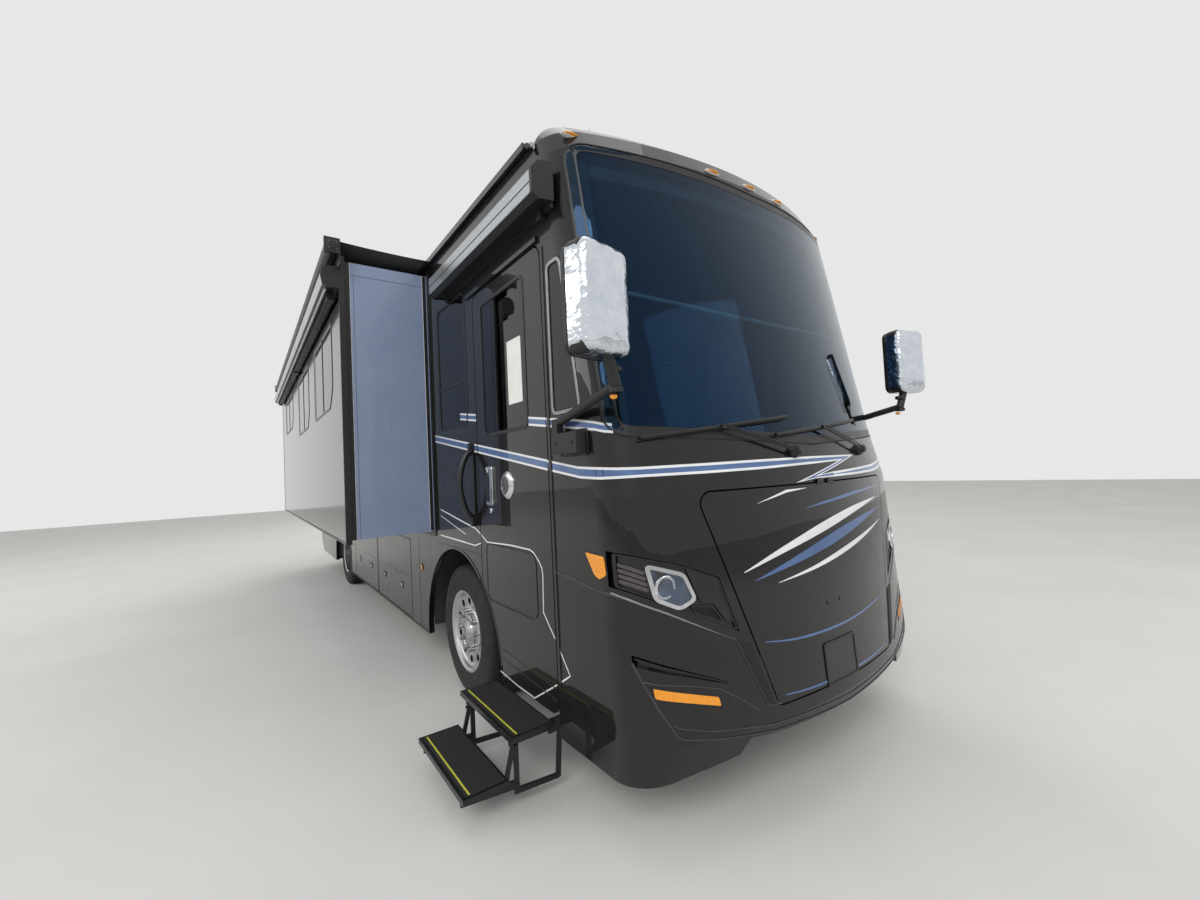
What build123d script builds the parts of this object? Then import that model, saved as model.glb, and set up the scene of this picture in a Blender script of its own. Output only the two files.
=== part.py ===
from build123d import *
import math
import os

# A motorhome on a rear-engined chassis, in millimetres.
# X runs to the driver's side, the nose faces -Y and Z is up. The origin lies on the ground
# under the middle of the overall box. Stations run rearwards from the foremost point of the nose.

# Overall body
length = 10390.0
body_width = 2460.0
wall = 45.0
skirt_bottom = 300.0
skirt_top = 1120.0
deck_top = 1180.0
deck_thickness = 60.0
stairwell_inner = -540.0
roof_corner = 3400.0
gutter_height = 3520.0
crown_height = 3560.0
roof_radius = 100.0
bow_radius = 3250.0
corner_radius = 240.0
tail_radius = 120.0
front_seam = 885.0
rear_seam = length - 420.0

# The outline seen from the side: height, station of the nose, station of the tail
side_profile = [
    (skirt_bottom, 40.0, length - 80.0),
    (480.0, 0.0, length - 40.0),
    (1540.0, 75.0, length - 20.0),
    (1800.0, 140.0, length - 20.0),
    (3320.0, 430.0, length - 60.0),
    (3430.0, 490.0, length - 110.0),
    (3600.0, 700.0, length - 260.0),
]

# Wheels, axles and frame
tyre_radius = 490.0
tyre_width = 255.0
rim_radius = 286.0
rim_bore_radius = 110.0
front_axle_station = 2335.0
wheelbase = 5285.0
tyre_side_inset = 40.0
dual_spacing = 305.0
kingpin_offset = 170.0
front_stub = 38.0
rear_stub = 40.0
running_gap = 0.4
arch_radius = 750.0
arch_centre_height = 370.0
rail_outer = 430.0
rail_height = 230.0
rail_width = 75.0
rail_bottom = 620.0
rail_start = 330.0
rail_end = length - 330.0

# Entry door and step
door_gap = 8.0
door_start = front_seam + door_gap
door_end = 1833.0
door_bottom = 400.0
door_top = 2890.0
door_radius = 70.0
step_start = 915.0
step_end = 1615.0
step_bar = 12.0
step_bars = (955.0, 1530.0)

# Slide-outs
slide_reach = 625.0
slide_bottom = 1215.0
slide_top = 3380.0
slide_wall = 40.0
slide_lap = 35.0
slide_flange = 40.0
slide_flange_lap = 30.0
slide_gap = 8.0
slide_face_clearance = 10.0
roller_radius = 50.0
roller_rise = 60.0
topper_overhang = 100.0
bracket_width = 25.0
right_slide_start = 2820.0
right_slide_end = 9390.0
left_slide_start = 3250.0
left_slide_end = 7050.0

# Gutter rail along both roof edges
gutter_reach = 32.0
gutter_bottom = 3435.0
gutter_top = 3475.0
gutter_start = 960.0

# Front hatch, windshield and the rest of the openings
hatch_top = 1540.0
hatch_bottom = 545.0
hatch_half_top = 870.0
hatch_half_bottom = 542.0
hatch_thickness = 30.0
hatch_skin = 8.0
hatch_rebate = 25.0
hatch_gap = 8.0
hatch_top_radius = 55.0
hatch_bottom_radius = 34.0
glass_depth = 3.0
glass_seat = 12.0
glass_lap = 24.0
glass_gap = 3.0
bay_bottom = 330.0
bay_top = 1080.0
bay_gap = 6.0
bay_stations = [(3600.0, 5060.0), (5072.0, 6532.0)]
hinge_clearance = 0.3
bay_door_thickness = 38.0
jack_stations = (720.0, 8450.0)
jack_radius = 25.0
hatch_axis_station = 72.0
hatch_hinges = (-50.0, 50.0)
engine_axis_station = length - 20.0
engine_door_half = 850.0
engine_door_bottom = 640.0
engine_door_top = 1460.0
grille_half = 620.0
grille_bottom = 1090.0
grille_top = 1380.0
grille_slats = 8
hitch_pin_radius = 8.2
hitch_pin_height = 502.0
hitch_pin_inset = 70.0
rear_sweep_height = 575.0

# Recesses of the nose, seen from the front: distance across, height
lamp_recess_depth = 12.0
lamp_back = 30.0
lamp_cluster = [(1226, 1305), (1125, 1276), (978, 1232), (800, 1158), (788, 1116), (722, 905),
                (991, 1036), (1111, 1094), (1226, 1148)]
headlamp_lens = [(1130, 1245), (970, 1192), (925, 1078), (1003, 1045), (1106, 1096)]
marker_lens = [(1224, 1292), (1150, 1272), (1168, 1150), (1224, 1176)]
bumper_lamp = [(853, 603), (1147, 687), (1152, 740), (860, 640)]
blade_recess_depth = 24.0
blade_recess = [(1196, 868), (814, 708), (814, 698), (1196, 822)]
bumper_underside = [(1400, 200), (1400, 300), (1215, 302), (960, 348), (765, 374), (712, 440),
                    (560, 424), (0, 408)]

# Black loop handle behind the entry door
handle_station = 1905.0
handle_width = 24.0
handle_depth = 22.0
handle_gap = 40.0
handle_bottom = 1350.0
handle_top = 1860.0
handle_foot = 40.0

half = body_width / 2
hub_height = tyre_radius
wheel_x = half - tyre_side_inset - tyre_width / 2
inner_wheel_x = wheel_x - dual_spacing
rear_axle_station = front_axle_station + wheelbase
kingpin_x = wheel_x - kingpin_offset
dual_mate = (wheel_x + inner_wheel_x) / 2
slide_face = half + slide_face_clearance + slide_reach
slide_outer = slide_face + slide_flange


def y_of(station):
    return station - length / 2


def block(x0, x1, s0, s1, z0, z1):
    centre = Pos((x0 + x1) / 2, y_of((s0 + s1) / 2), (z0 + z1) / 2)
    return centre * Box(abs(x1 - x0), abs(s1 - s0), abs(z1 - z0))


def rod_x(x0, x1, station, height, radius):
    centre = Pos((x0 + x1) / 2, y_of(station), height)
    return centre * Rot(0, 90, 0) * Cylinder(radius, abs(x1 - x0))


def rod_y(x, s0, s1, height, radius):
    centre = Pos(x, y_of((s0 + s1) / 2), height)
    return centre * Rot(90, 0, 0) * Cylinder(radius, abs(s1 - s0))


def rod_z(x, station, z0, z1, radius):
    return Pos(x, y_of(station), (z0 + z1) / 2) * Cylinder(radius, abs(z1 - z0))


def rod_between(start, end, radius):
    a = Vector(start[0], y_of(start[1]), start[2])
    b = Vector(end[0], y_of(end[1]), end[2])
    return Solid.make_cylinder(radius, (b - a).length, Plane(origin=a, z_dir=b - a))


def rounded_prism_x(x0, x1, s0, s1, z0, z1, radius):
    """A rounded rectangle seen from the side, pushed through from x0 to x1."""
    width = abs(x1 - x0)
    plate = extrude(RectangleRounded(s1 - s0, z1 - z0, radius), width / 2, both=True)
    centre = Pos((x0 + x1) / 2, y_of((s0 + s1) / 2), (z0 + z1) / 2)
    return centre * Rot(0, 0, 90) * Rot(90, 0, 0) * plate


def rounded_prism_y(x0, x1, s0, s1, z0, z1, radius):
    """A rounded rectangle seen from the front, pushed through from s0 to s1."""
    depth = abs(s1 - s0)
    plate = extrude(RectangleRounded(x1 - x0, z1 - z0, radius), depth / 2, both=True)
    centre = Pos((x0 + x1) / 2, y_of((s0 + s1) / 2), (z0 + z1) / 2)
    return centre * Rot(90, 0, 0) * plate


def prism_x(points, x0, x1, radius=0.0):
    """An outline of (station, height) points pushed through from x0 to x1."""
    corners = [Vector(x0, y_of(s), z) for s, z in points]
    face = make_face(Polyline(*corners, close=True))
    if radius > 0:
        face = fillet(face.vertices(), radius)
    return extrude(face, abs(x1 - x0), dir=(1 if x1 > x0 else -1, 0, 0))


def prism_y(points, s0, s1, radius=0.0):
    """An outline of (x, height) points pushed through from station s0 to s1."""
    corners = [Vector(x, y_of(s0), z) for x, z in points]
    face = make_face(Polyline(*corners, close=True))
    if radius > 0:
        face = fillet(face.vertices(), radius)
    return extrude(face, s1 - s0, dir=(0, 1, 0))


def mirrored(shape):
    return mirror(shape, about=Plane.YZ)


def both_sides(shape):
    return Compound(children=[solid for solid in shape.solids() + mirrored(shape).solids()])


def joined(*shapes):
    """Fuse shapes into one or more clean solids."""
    result = shapes[0]
    for shape in shapes[1:]:
        result = result + shape
    return result


def save(name, shape):
    solids = shape.solids()
    kept = solids[0] if len(solids) == 1 else Compound(children=list(solids))
    kept.label = name
    export_step(kept, "parts/" + name + ".step")


# Outer form of the coach, drawn in by an inset


def plan_outline(height, nose, tail, inset):
    """The outline seen from above at one height: bowed nose, round corners, straight sides."""
    outer = half - inset
    bow = bow_radius - inset
    corner = corner_radius - inset
    back = tail_radius - inset
    bow_y = y_of(nose) + bow_radius
    reach = bow_radius - corner_radius
    corner_x = half - corner_radius
    corner_y = bow_y - math.sqrt(reach ** 2 - corner_x ** 2)
    tangent_x = bow * corner_x / reach
    tangent_y = bow_y - bow * (bow_y - corner_y) / reach
    away = math.atan2(corner_y - bow_y, corner_x)
    turn = away / 2
    mid_x = corner_x + corner * math.cos(turn)
    mid_y = corner_y + corner * math.sin(turn)
    back_x = half - tail_radius
    back_y = y_of(tail) - tail_radius
    slant = back * math.sqrt(0.5)
    edges = [
        ThreePointArc((-tangent_x, tangent_y), (0, bow_y - bow), (tangent_x, tangent_y)),
        ThreePointArc((tangent_x, tangent_y), (mid_x, mid_y), (outer, corner_y)),
        Line((outer, corner_y), (outer, back_y)),
        ThreePointArc((outer, back_y), (back_x + slant, back_y + slant), (back_x, back_y + back)),
        Line((back_x, back_y + back), (-back_x, back_y + back)),
        ThreePointArc((-back_x, back_y + back), (-back_x - slant, back_y + slant), (-outer, back_y)),
        Line((-outer, back_y), (-outer, corner_y)),
        ThreePointArc((-outer, corner_y), (-mid_x, mid_y), (-tangent_x, tangent_y)),
    ]
    return Pos(0, 0, height) * make_face(edges)


def roof_section(inset):
    """The outline seen from the front: straight sides, round roof corners, crowned roof."""
    outer = half - inset
    radius = roof_radius - inset
    centre_x = half - roof_radius
    centre_z = gutter_height - roof_radius
    slant = radius * math.sqrt(0.5)
    low = skirt_bottom - (120 if inset > 0 else 0)
    y0 = -length / 2 - 50
    edges = [
        Line((-outer, y0, low), (outer, y0, low)),
        Line((outer, y0, low), (outer, y0, centre_z)),
        ThreePointArc((outer, y0, centre_z), (centre_x + slant, y0, centre_z + slant),
                      (centre_x, y0, centre_z + radius)),
        ThreePointArc((centre_x, y0, centre_z + radius), (0, y0, crown_height - inset),
                      (-centre_x, y0, centre_z + radius)),
        ThreePointArc((-centre_x, y0, centre_z + radius), (-centre_x - slant, y0, centre_z + slant),
                      (-outer, y0, centre_z)),
        Line((-outer, y0, centre_z), (-outer, y0, low)),
    ]
    return extrude(make_face(edges), length + 100, dir=(0, 1, 0))


def coach_form(inset):
    rows = list(side_profile)
    if inset > 0:
        first = rows[0]
        rows[0] = (first[0] - 150, first[1], first[2])
    faces = [plan_outline(height, nose, tail, inset) for height, nose, tail in rows]
    return loft(faces, ruled=True) & roof_section(inset)


def front_station(x, height):
    """The station of the body's front surface at a place across and a height."""
    row = [one for one in side_profile if one[0] <= height][-1]
    after = side_profile[side_profile.index(row) + 1]
    nose = row[1] + (after[1] - row[1]) * (height - row[0]) / (after[0] - row[0])
    corner_x = half - corner_radius
    reach = bow_radius - corner_radius
    if abs(x) <= bow_radius * corner_x / reach:
        return nose + bow_radius - math.sqrt(bow_radius ** 2 - x ** 2)
    corner = nose + bow_radius - math.sqrt(reach ** 2 - corner_x ** 2)
    return corner - math.sqrt(max(corner_radius ** 2 - (abs(x) - corner_x) ** 2, 0))


outer_form = coach_form(0)
inner_form = coach_form(wall)
seat_form = coach_form(glass_seat)
glass_face = coach_form(glass_depth)
glass_back = coach_form(glass_seat)
hatch_back = coach_form(hatch_thickness)
lip_form = outer_form - coach_form(hatch_skin + 6)
shell = outer_form - inner_form


def arch_tool(side, station, depth):
    """The round wheel arch, open at the bottom, from outside the body inwards by a depth."""
    x0 = side * (half + 60)
    x1 = side * (half - depth)
    top = rod_x(x0, x1, station, arch_centre_height, arch_radius)
    legs = block(x0, x1, station - arch_radius, station + arch_radius, 100, arch_centre_height)
    return top + legs


arches = joined(*[arch_tool(side, station, 120) for side in (1, -1)
                  for station in (front_axle_station, rear_axle_station)])


# Openings in the sides


def door_outline(gap, x0, x1):
    leaf = rounded_prism_x(x0, x1, door_start - gap, door_end + gap, door_bottom - gap,
                           door_top + gap, door_radius)
    arch = rod_x(x0 - 10, x1 + 10, front_axle_station, arch_centre_height, arch_radius + 22 - gap)
    return leaf - arch


quarter_points = [(560, 1960), (822, 1960), (822, 2750), (690, 2750)]
windshield_points = [(-1196, 1815), (0, 1748), (1196, 1815), (1185, 3345), (0, 3290), (-1185, 3345)]
side_panes_right = [(1990, 2590, 2030, 3000)]
side_panes_left = [(1150, 1900, 1950, 2860), (2150, 2900, 2000, 2800), (7450, 8300, 2300, 2950)]
slide_panes_right = [(3250, 4500, 2300, 3020), (5050, 6300, 2300, 3020), (7200, 8600, 2500, 3020)]
slide_panes_left = [(3600, 4900, 2150, 3000), (5350, 6600, 2150, 3000)]


def seated_pane(station0, station1, z0, z1, side, face, radius=60.0):
    """A flush pane, the rebate that takes it and the hole behind its flange."""
    x_out = side * (face - glass_depth)
    x_back = side * (face - glass_seat)
    x_far = side * (face + 30)
    x_deep = side * (face - 120)
    pane = rounded_prism_x(x_out, x_back, station0, station1, z0, z1, radius)
    rebate = rounded_prism_x(x_far, x_back, station0 - glass_gap, station1 + glass_gap,
                             z0 - glass_gap, z1 + glass_gap, radius)
    hole = rounded_prism_x(x_back + side, x_deep, station0 + glass_lap, station1 - glass_lap,
                           z0 + glass_lap, z1 - glass_lap, radius - 20)
    return pane, rebate + hole


def slanted_pane(station0, station1, z0, z1, side, face, slant=170.0):
    """A flush pane whose lower front corner is cut off aslant, with its rebate and hole."""
    points = [(station0 + slant, z0), (station1, z0), (station1, z1), (station0, z1), (station0, z0 + slant)]
    pane = outline_x(points, 0, side * (face - glass_depth), side * (face - glass_seat))
    rebate = outline_x(points, glass_gap, side * (face + 30), side * (face - glass_seat))
    hole = outline_x(points, -glass_lap, side * (face - glass_seat + 1), side * (face - 120))
    return pane, rebate + hole


def outline_x(points, amount, x0, x1, radius=50.0):
    """A rounded outline of (station, height) points, grown by an amount and pushed from x0 to x1."""
    corners = [Vector(x0, y_of(s), z) for s, z in points]
    face = make_face(Polyline(*corners, close=True))
    face = fillet(face.vertices(), radius)
    if amount:
        face = offset(face, amount)
    return extrude(face, abs(x1 - x0), dir=(1 if x1 > x0 else -1, 0, 0))


def windshield_parts():
    pane = prism_y(windshield_points, -200, 850, 90)
    rebate = offset_outline(windshield_points, glass_gap, 90)
    hole = offset_outline(windshield_points, -glass_lap, 80)
    glass = (glass_face - glass_back) & pane
    return glass, (rebate - seat_form) + hole


def offset_outline(points, amount, radius):
    corners = [Vector(x, y_of(-200), z) for x, z in points]
    face = fillet(make_face(Polyline(*corners, close=True)).vertices(), radius)
    grown = offset(face, amount)
    return extrude(grown, 1050, dir=(0, 1, 0))


def hatch_outline(gap):
    points = [(-hatch_half_bottom, hatch_bottom), (hatch_half_bottom, hatch_bottom),
              (hatch_half_top, hatch_top), (-hatch_half_top, hatch_top)]
    corners = [Vector(x, y_of(-100), z) for x, z in points]
    face = make_face(Polyline(*corners, close=True))
    face = fillet(face.vertices().group_by(Axis.Z)[-1], hatch_top_radius)
    face = fillet(face.vertices().group_by(Axis.Z)[0], hatch_bottom_radius)
    if gap:
        face = offset(face, gap)
    return extrude(face, 600, dir=(0, 1, 0))


marker_lamps = [(-1130, 3400), (-310, 3345), (0, 3340), (310, 3345), (1130, 3400)]


def slide_opening(side, start, end):
    return block(side * (half + 50), side * (half - wall - 60), start - slide_gap, end + slide_gap,
                 slide_bottom - slide_gap, slide_top + slide_gap)


# Body panels


def make_front_cap():
    cap = shell & block(-1400, 1400, -100, front_seam, 0, 4000)
    glass, cut = windshield_parts()
    cap = cap - cut
    quarter = prism_x(quarter_points, half - glass_depth, half - glass_seat, 45)
    quarter_cut = prism_x([(552, 1952), (830, 1952), (830, 2758), (684, 2758)], half + 30,
                          half - glass_seat, 48)
    quarter_hole = prism_x([(592, 1984), (798, 1984), (798, 2726), (706, 2726)],
                           half - glass_seat + 1, half - 120, 30)
    cap = cap - both_sides(quarter_cut + quarter_hole)
    cap = cap - hatch_outline(hatch_gap) - (hatch_outline(hatch_gap + hatch_rebate) - lip_form)
    for points, depth in ((lamp_cluster, lamp_back), (bumper_lamp, lamp_back), (blade_recess, blade_recess_depth)):
        tool = prism_y(points, -100, 700) - coach_form(depth)
        cap = cap - both_sides(tool)
    below = prism_y(bumper_underside + [(-x, z) for x, z in reversed(bumper_underside[:-1])], -100, 700)
    cap = cap - below
    for x in hatch_hinges:
        low = hatch_top + hatch_gap
        cap = cap + block(x - 28, x + 28, hatch_axis_station - 6, hatch_axis_station + 30, low, low + 14)
    return cap, glass, both_sides(quarter)


def make_front_hatch():
    skin = (outer_form - coach_form(hatch_skin)) & hatch_outline(0)
    pan = (coach_form(hatch_skin) - hatch_back) & hatch_outline(-hatch_rebate)
    hatch = skin + pan
    radius = hatch_gap / 2 - hinge_clearance
    for x in hatch_hinges:
        hatch = hatch + rod_x(x - 30, x + 30, hatch_axis_station, hatch_top + hatch_gap / 2, radius)
        hatch = hatch + block(x - 28, x + 28, hatch_axis_station, hatch_axis_station + 20, hatch_top - 6, hatch_top + 3)
    return hatch


def make_lamps():
    solids = []
    behind = coach_form(lamp_back)
    floor = coach_form(lamp_recess_depth)
    cluster = (floor & prism_y(lamp_cluster, -100, 700)) - behind
    for points in (headlamp_lens, marker_lens):
        cluster = cluster + ((outer_form & prism_y(points, -100, 700)) - behind)
    bumper_unit = (outer_form & prism_y(bumper_lamp, -100, 700)) - behind
    solids += list(both_sides(cluster).solids()) + list(both_sides(bumper_unit).solids())
    for x, height in marker_lamps:
        nose = front_station(x, height)
        lamp = block(x - 50, x + 50, nose - 26, nose + 60, height - 13, height + 13) - outer_form
        solids += list(lamp.solids())
    for side in (1, -1):
        for z0, z1 in ((1560, 1700), (1710, 1850), (1860, 2000)):
            lens = block(side * 1000, side * 1100, length - 60, length, z0, z1) - outer_form
            solids += list(lens.solids())
    return Compound(children=solids)


def make_side(side, panes, slide):
    start, end = slide
    zone = block(side * (half + 20), side * (half - wall), front_seam, rear_seam, skirt_top, roof_corner)
    panel = shell & zone
    panel = panel - slide_opening(side, start, end)
    if side < 0:
        panel = panel - door_outline(door_gap, -half - 40, -half + 120)
    panes_out = []
    for station0, station1, z0, z1 in panes:
        pane, cut = seated_pane(station0, station1, z0, z1, side, half)
        panel = panel - cut
        panes_out.append(pane)
    panel = panel - arches
    if side < 0:
        rail = block(side * (half + 16), side * (half - 5), door_start + 6, door_end + 100, door_top + 12, door_top + 42)
        panel = panel + rail
    return panel, panes_out


def make_skirts():
    zone = block(-half - 20, half + 20, front_seam, rear_seam, skirt_bottom - 10, skirt_top)
    skirts = (shell & zone) - arches
    skirts = skirts - door_outline(door_gap, -half - 40, -half + 120)
    skirts = skirts - block(-half - 40, -half + 120, door_start - door_gap, 1600, 200, 460)
    for start, end in bay_stations:
        cut = block(half + 40, half - 120, start - bay_gap, end + bay_gap, bay_bottom - bay_gap, bay_top + bay_gap)
        skirts = skirts - both_sides(cut)
    return skirts


def make_roof():
    zone = block(-half - 20, half + 20, front_seam, rear_seam, roof_corner, 4000)
    roof = shell & zone
    for side in (1, -1):
        rail = block(side * (half - 20), side * (half + gutter_reach), gutter_start, rear_seam - 60,
                     gutter_bottom, gutter_top)
        groove = block(side * (half + 6), side * (half + gutter_reach - 8), gutter_start - 5, rear_seam,
                       gutter_top - 22, gutter_top + 5)
        roof = roof + ((rail - inner_form) - groove)
    return roof


def make_rear_cap():
    zone = block(-half - 20, half + 20, rear_seam, length + 100, 0, 4000)
    cap = shell & zone
    cap = cap - rounded_prism_y(-engine_door_half - 6, engine_door_half + 6, length - 300, length + 50,
                                engine_door_bottom - 6, engine_door_top + 6, 50)
    cap = cap - block(-40, 40, length - 300, length + 50, 462, 542)
    low = skirt_bottom - 20
    sweep = [(rear_seam, low), (rear_seam, skirt_bottom), (length, rear_sweep_height), (length, low)]
    return cap - prism_x(sweep, -half - 20, half + 20)


def make_engine_door():
    zone = rounded_prism_y(-engine_door_half, engine_door_half, length - 300, length + 50,
                           engine_door_bottom, engine_door_top, 50)
    door = shell & zone
    window = rounded_prism_y(-grille_half, grille_half, length - 300, length + 50, grille_bottom, grille_top, 30)
    door = door - window
    pitch = (grille_top - grille_bottom) / grille_slats
    for i in range(grille_slats):
        z = grille_bottom + pitch * (i + 0.5)
        slat = [(length - 64, z + 12), (length - 60, z + 18), (length - 34, z - 8), (length - 38, z - 14)]
        door = door + prism_x(slat, -grille_half - 5, grille_half + 5)
    for x in (-310, 0, 310):
        door = door + block(x - 9, x + 9, length - 68, length - 44, grille_bottom - 5, grille_top + 5)
    axis_z = engine_door_top + 3
    for x in (-500, 500):
        door = door + rod_x(x - 40, x + 40, engine_axis_station, axis_z, 3 - hinge_clearance)
        door = door + block(x - 38, x + 38, engine_axis_station - 20, engine_axis_station, axis_z - 8, axis_z - 1)
    return door


def make_deck():
    deck = (inner_form & block(-half, half, 300, length, deck_top - deck_thickness, deck_top))
    return deck - block(-half, stairwell_inner, 905, 1560, deck_top - 100, deck_top + 5)


def make_slide_rollers():
    """Short rollers on the deck that carry the slide-outs' floors."""
    rollers = []
    for side, start, end in ((-1, right_slide_start, right_slide_end), (1, left_slide_start, left_slide_end)):
        radius = (slide_bottom - deck_top - hinge_clearance) / 2 + 1
        count = int((end - start) / 900)
        for i in range(count + 1):
            s = start + 200 + (end - start - 400) * i / count
            roller = rod_y(side * 1160, s - 60, s + 60, slide_bottom - hinge_clearance - radius, radius)
            rollers.append(roller - block(side * 1100, side * 1220, s - 80, s + 80, deck_top - 10, deck_top))
    return Compound(children=[solid for one in rollers for solid in one.solids()])


def make_stairwell():
    """The tub inside the entry door with one inner tread, and the guides of the folding step."""
    under = deck_top - deck_thickness
    outer = -half + wall
    plates = [
        block(outer, stairwell_inner, 905, 1560, 440, 470),
        block(stairwell_inner - 30, stairwell_inner, 905, 1560, 470, under),
        block(outer, stairwell_inner, 880, 905, 440, under),
        block(outer, stairwell_inner, 1560, 1585, 440, under),
        block(-860, stairwell_inner - 30, 905, 1560, 795, 825),
        block(-885, -860, 905, 1560, 470, 825),
    ]
    for s0, s1 in ((step_bars[0] - 25, step_bars[0] - hinge_clearance),
                   (step_bars[1] + step_bar + hinge_clearance, step_bars[1] + step_bar + 25)):
        plates.append(block(-1150, -290, s0, s1, 384, 440))
    return Compound(children=plates)


def make_storage_bays():
    """The floors and walls behind the bay doors, open outwards."""
    inner = rail_outer + 70
    outer = half - wall
    s0 = bay_stations[0][0] - 20
    s1 = bay_stations[1][1] + 20
    under = deck_top - deck_thickness
    plates = []
    for side in (1, -1):
        plates.append(block(side * inner, side * outer, s0, s1, bay_bottom - 20, bay_bottom))
        plates.append(block(side * inner, side * (inner + 20), s0, s1, bay_bottom, under))
        for s in (s0, bay_stations[0][1] - 4, s1 - 20):
            plates.append(block(side * (inner + 20), side * outer, s, s + 20, bay_bottom, under))
    return Compound(children=plates)


# Running gear


def make_rails():
    rails = []
    for side in (1, -1):
        web = block(side * rail_outer, side * (rail_outer - 9), rail_start, rail_end, rail_bottom,
                    rail_bottom + rail_height)
        low = block(side * rail_outer, side * (rail_outer - rail_width), rail_start, rail_end,
                    rail_bottom, rail_bottom + 9)
        high = block(side * rail_outer, side * (rail_outer - rail_width), rail_start, rail_end,
                     rail_bottom + rail_height - 9, rail_bottom + rail_height)
        rails.append(web + low + high)
    return Compound(children=[solid for rail in rails for solid in rail.solids()])


def make_cross_members():
    """Cross-members between the rails, outriggers to the skirts and the jacks' cylinders."""
    members = []
    inner = rail_outer - 9
    for station in (rail_start, 1400, 3100, 4200, 5300, 6600, rail_end - 60):
        members.append(block(-inner, inner, station, station + 60, rail_bottom + 30, rail_bottom + rail_height - 30))
    for station in (600, 3450, 6560, 9300):
        for side in (1, -1):
            members.append(block(side * (rail_outer + 60), side * (half - wall), station, station + 60,
                                 skirt_top - 80, skirt_top))
            members.append(block(side * rail_outer, side * (rail_outer + 60), station, station + 60,
                                 rail_bottom, skirt_top))
    for station in jack_stations:
        for side in (1, -1):
            x = side * (rail_outer + 60)
            tube = rod_z(x, station, 420, 900, jack_radius + 15) - rod_z(x, station, 400, 880, jack_radius + 0.4)
            ear = block(side * rail_outer, side * (rail_outer + 30), station - 40, station + 40, 700, 840)
            members += list((tube + ear).solids())
    return Compound(children=members)


def make_hitch_receiver():
    end = length - 20
    hanger_front = length - 400
    hanger_back = length - 330
    low = hitch_pin_height - 32
    high = hitch_pin_height + 32
    tube = block(-32, 32, hanger_back, end, low, high) - block(-25, 25, hanger_back - 1, end + 1, low + 6, high - 6)
    hanger = block(-60, 60, hanger_front, hanger_back, low, rail_bottom + 30)
    pin = rod_x(-60, 60, length - hitch_pin_inset, hitch_pin_height, hitch_pin_radius)
    return (tube + hanger) - pin


def make_axles():
    beam = block(-kingpin_x + 60, kingpin_x - 60, front_axle_station - 45, front_axle_station + 45, 420, 510)
    for side in (1, -1):
        eye = rod_z(side * kingpin_x, front_axle_station, 400, 530, 45)
        pin = rod_z(side * kingpin_x, front_axle_station, 340, 590, 19)
        link = block(side * (kingpin_x - 100), side * (kingpin_x - 20), front_axle_station - 40,
                     front_axle_station + 40, 425, 505)
        beam = beam + eye + pin + link
    rear = rod_x(-dual_mate + 100, dual_mate - 100, rear_axle_station, hub_height, 75)
    rear = rear + rod_x(-150, 150, rear_axle_station, hub_height, 190)
    for side in (1, -1):
        rear = rear + rod_x(side * 500, side * (dual_mate + 120), rear_axle_station, hub_height, rear_stub)
        rear = rear + block(side * 340, side * 415, rear_axle_station - 50, rear_axle_station + 50, 400, 450)
    return Compound(children=list(beam.solids()) + list(rear.solids()))


def make_springs():
    """Leaf springs with their hangers, under the rails on both axles."""
    leaves = []
    for station, x0, x1, low, high, reach in ((front_axle_station, 345, 420, 510, 560, 650),
                                              (rear_axle_station, 345, 420, 350, 400, 600)):
        for side in (1, -1):
            leaves.append(block(side * x0, side * x1, station - reach, station + reach, low, high))
            for s in (station - reach, station + reach - 60):
                leaves.append(block(side * x0, side * x1, s, s + 60, high, rail_bottom))
    return Compound(children=leaves)


def make_knuckle(side):
    s = front_axle_station
    x = side * kingpin_x
    upper = rod_z(x, s, 534, 585, 42)
    lower = rod_z(x, s, 345, 396, 42)
    web = block(x + side * 46, x + side * 70, s - 45, s + 45, 345, 585)
    for z0, z1 in ((345, 396), (534, 585)):
        web = web + block(x + side * 25, x + side * 50, s - 30, s + 30, z0, z1)
    arm = block(x + side * 10, x + side * 62, s + 40, s + 190, 350, 385) + block(
        x - side * 60, x + side * 12, s + 150, s + 190, 350, 385)
    spindle = rod_x(x + side * 50, side * (wheel_x + 78), s, hub_height, front_stub)
    body = joined(upper, lower, web, spindle, arm)
    return body - rod_z(x, s, 300, 640, 19.3)


def tyre_ring(x):
    """A tyre with a rounded shoulder, turned round its axle and centred at x."""
    w = tyre_width / 2
    outline = [(-w + 25, rim_radius), (w - 25, rim_radius), (w, rim_radius + 60), (w, tyre_radius - 70),
               (w - 28, tyre_radius - 6), (w - 45, tyre_radius), (-w + 45, tyre_radius),
               (-w + 28, tyre_radius - 6), (-w, tyre_radius - 70), (-w, rim_radius + 60)]
    face = make_face(Polyline(*[Vector(a, 0, r) for a, r in outline], close=True))
    return Pos(x, 0, 0) * revolve(face, Axis.X, 360)


def turned(points, x, side):
    """A profile of (outward, radius) points turned round the axle at x."""
    face = make_face(Polyline(*[Vector(side * u, 0, r) for u, r in points], close=True))
    return Pos(x, 0, 0) * revolve(face, Axis.X, 360)


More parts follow.
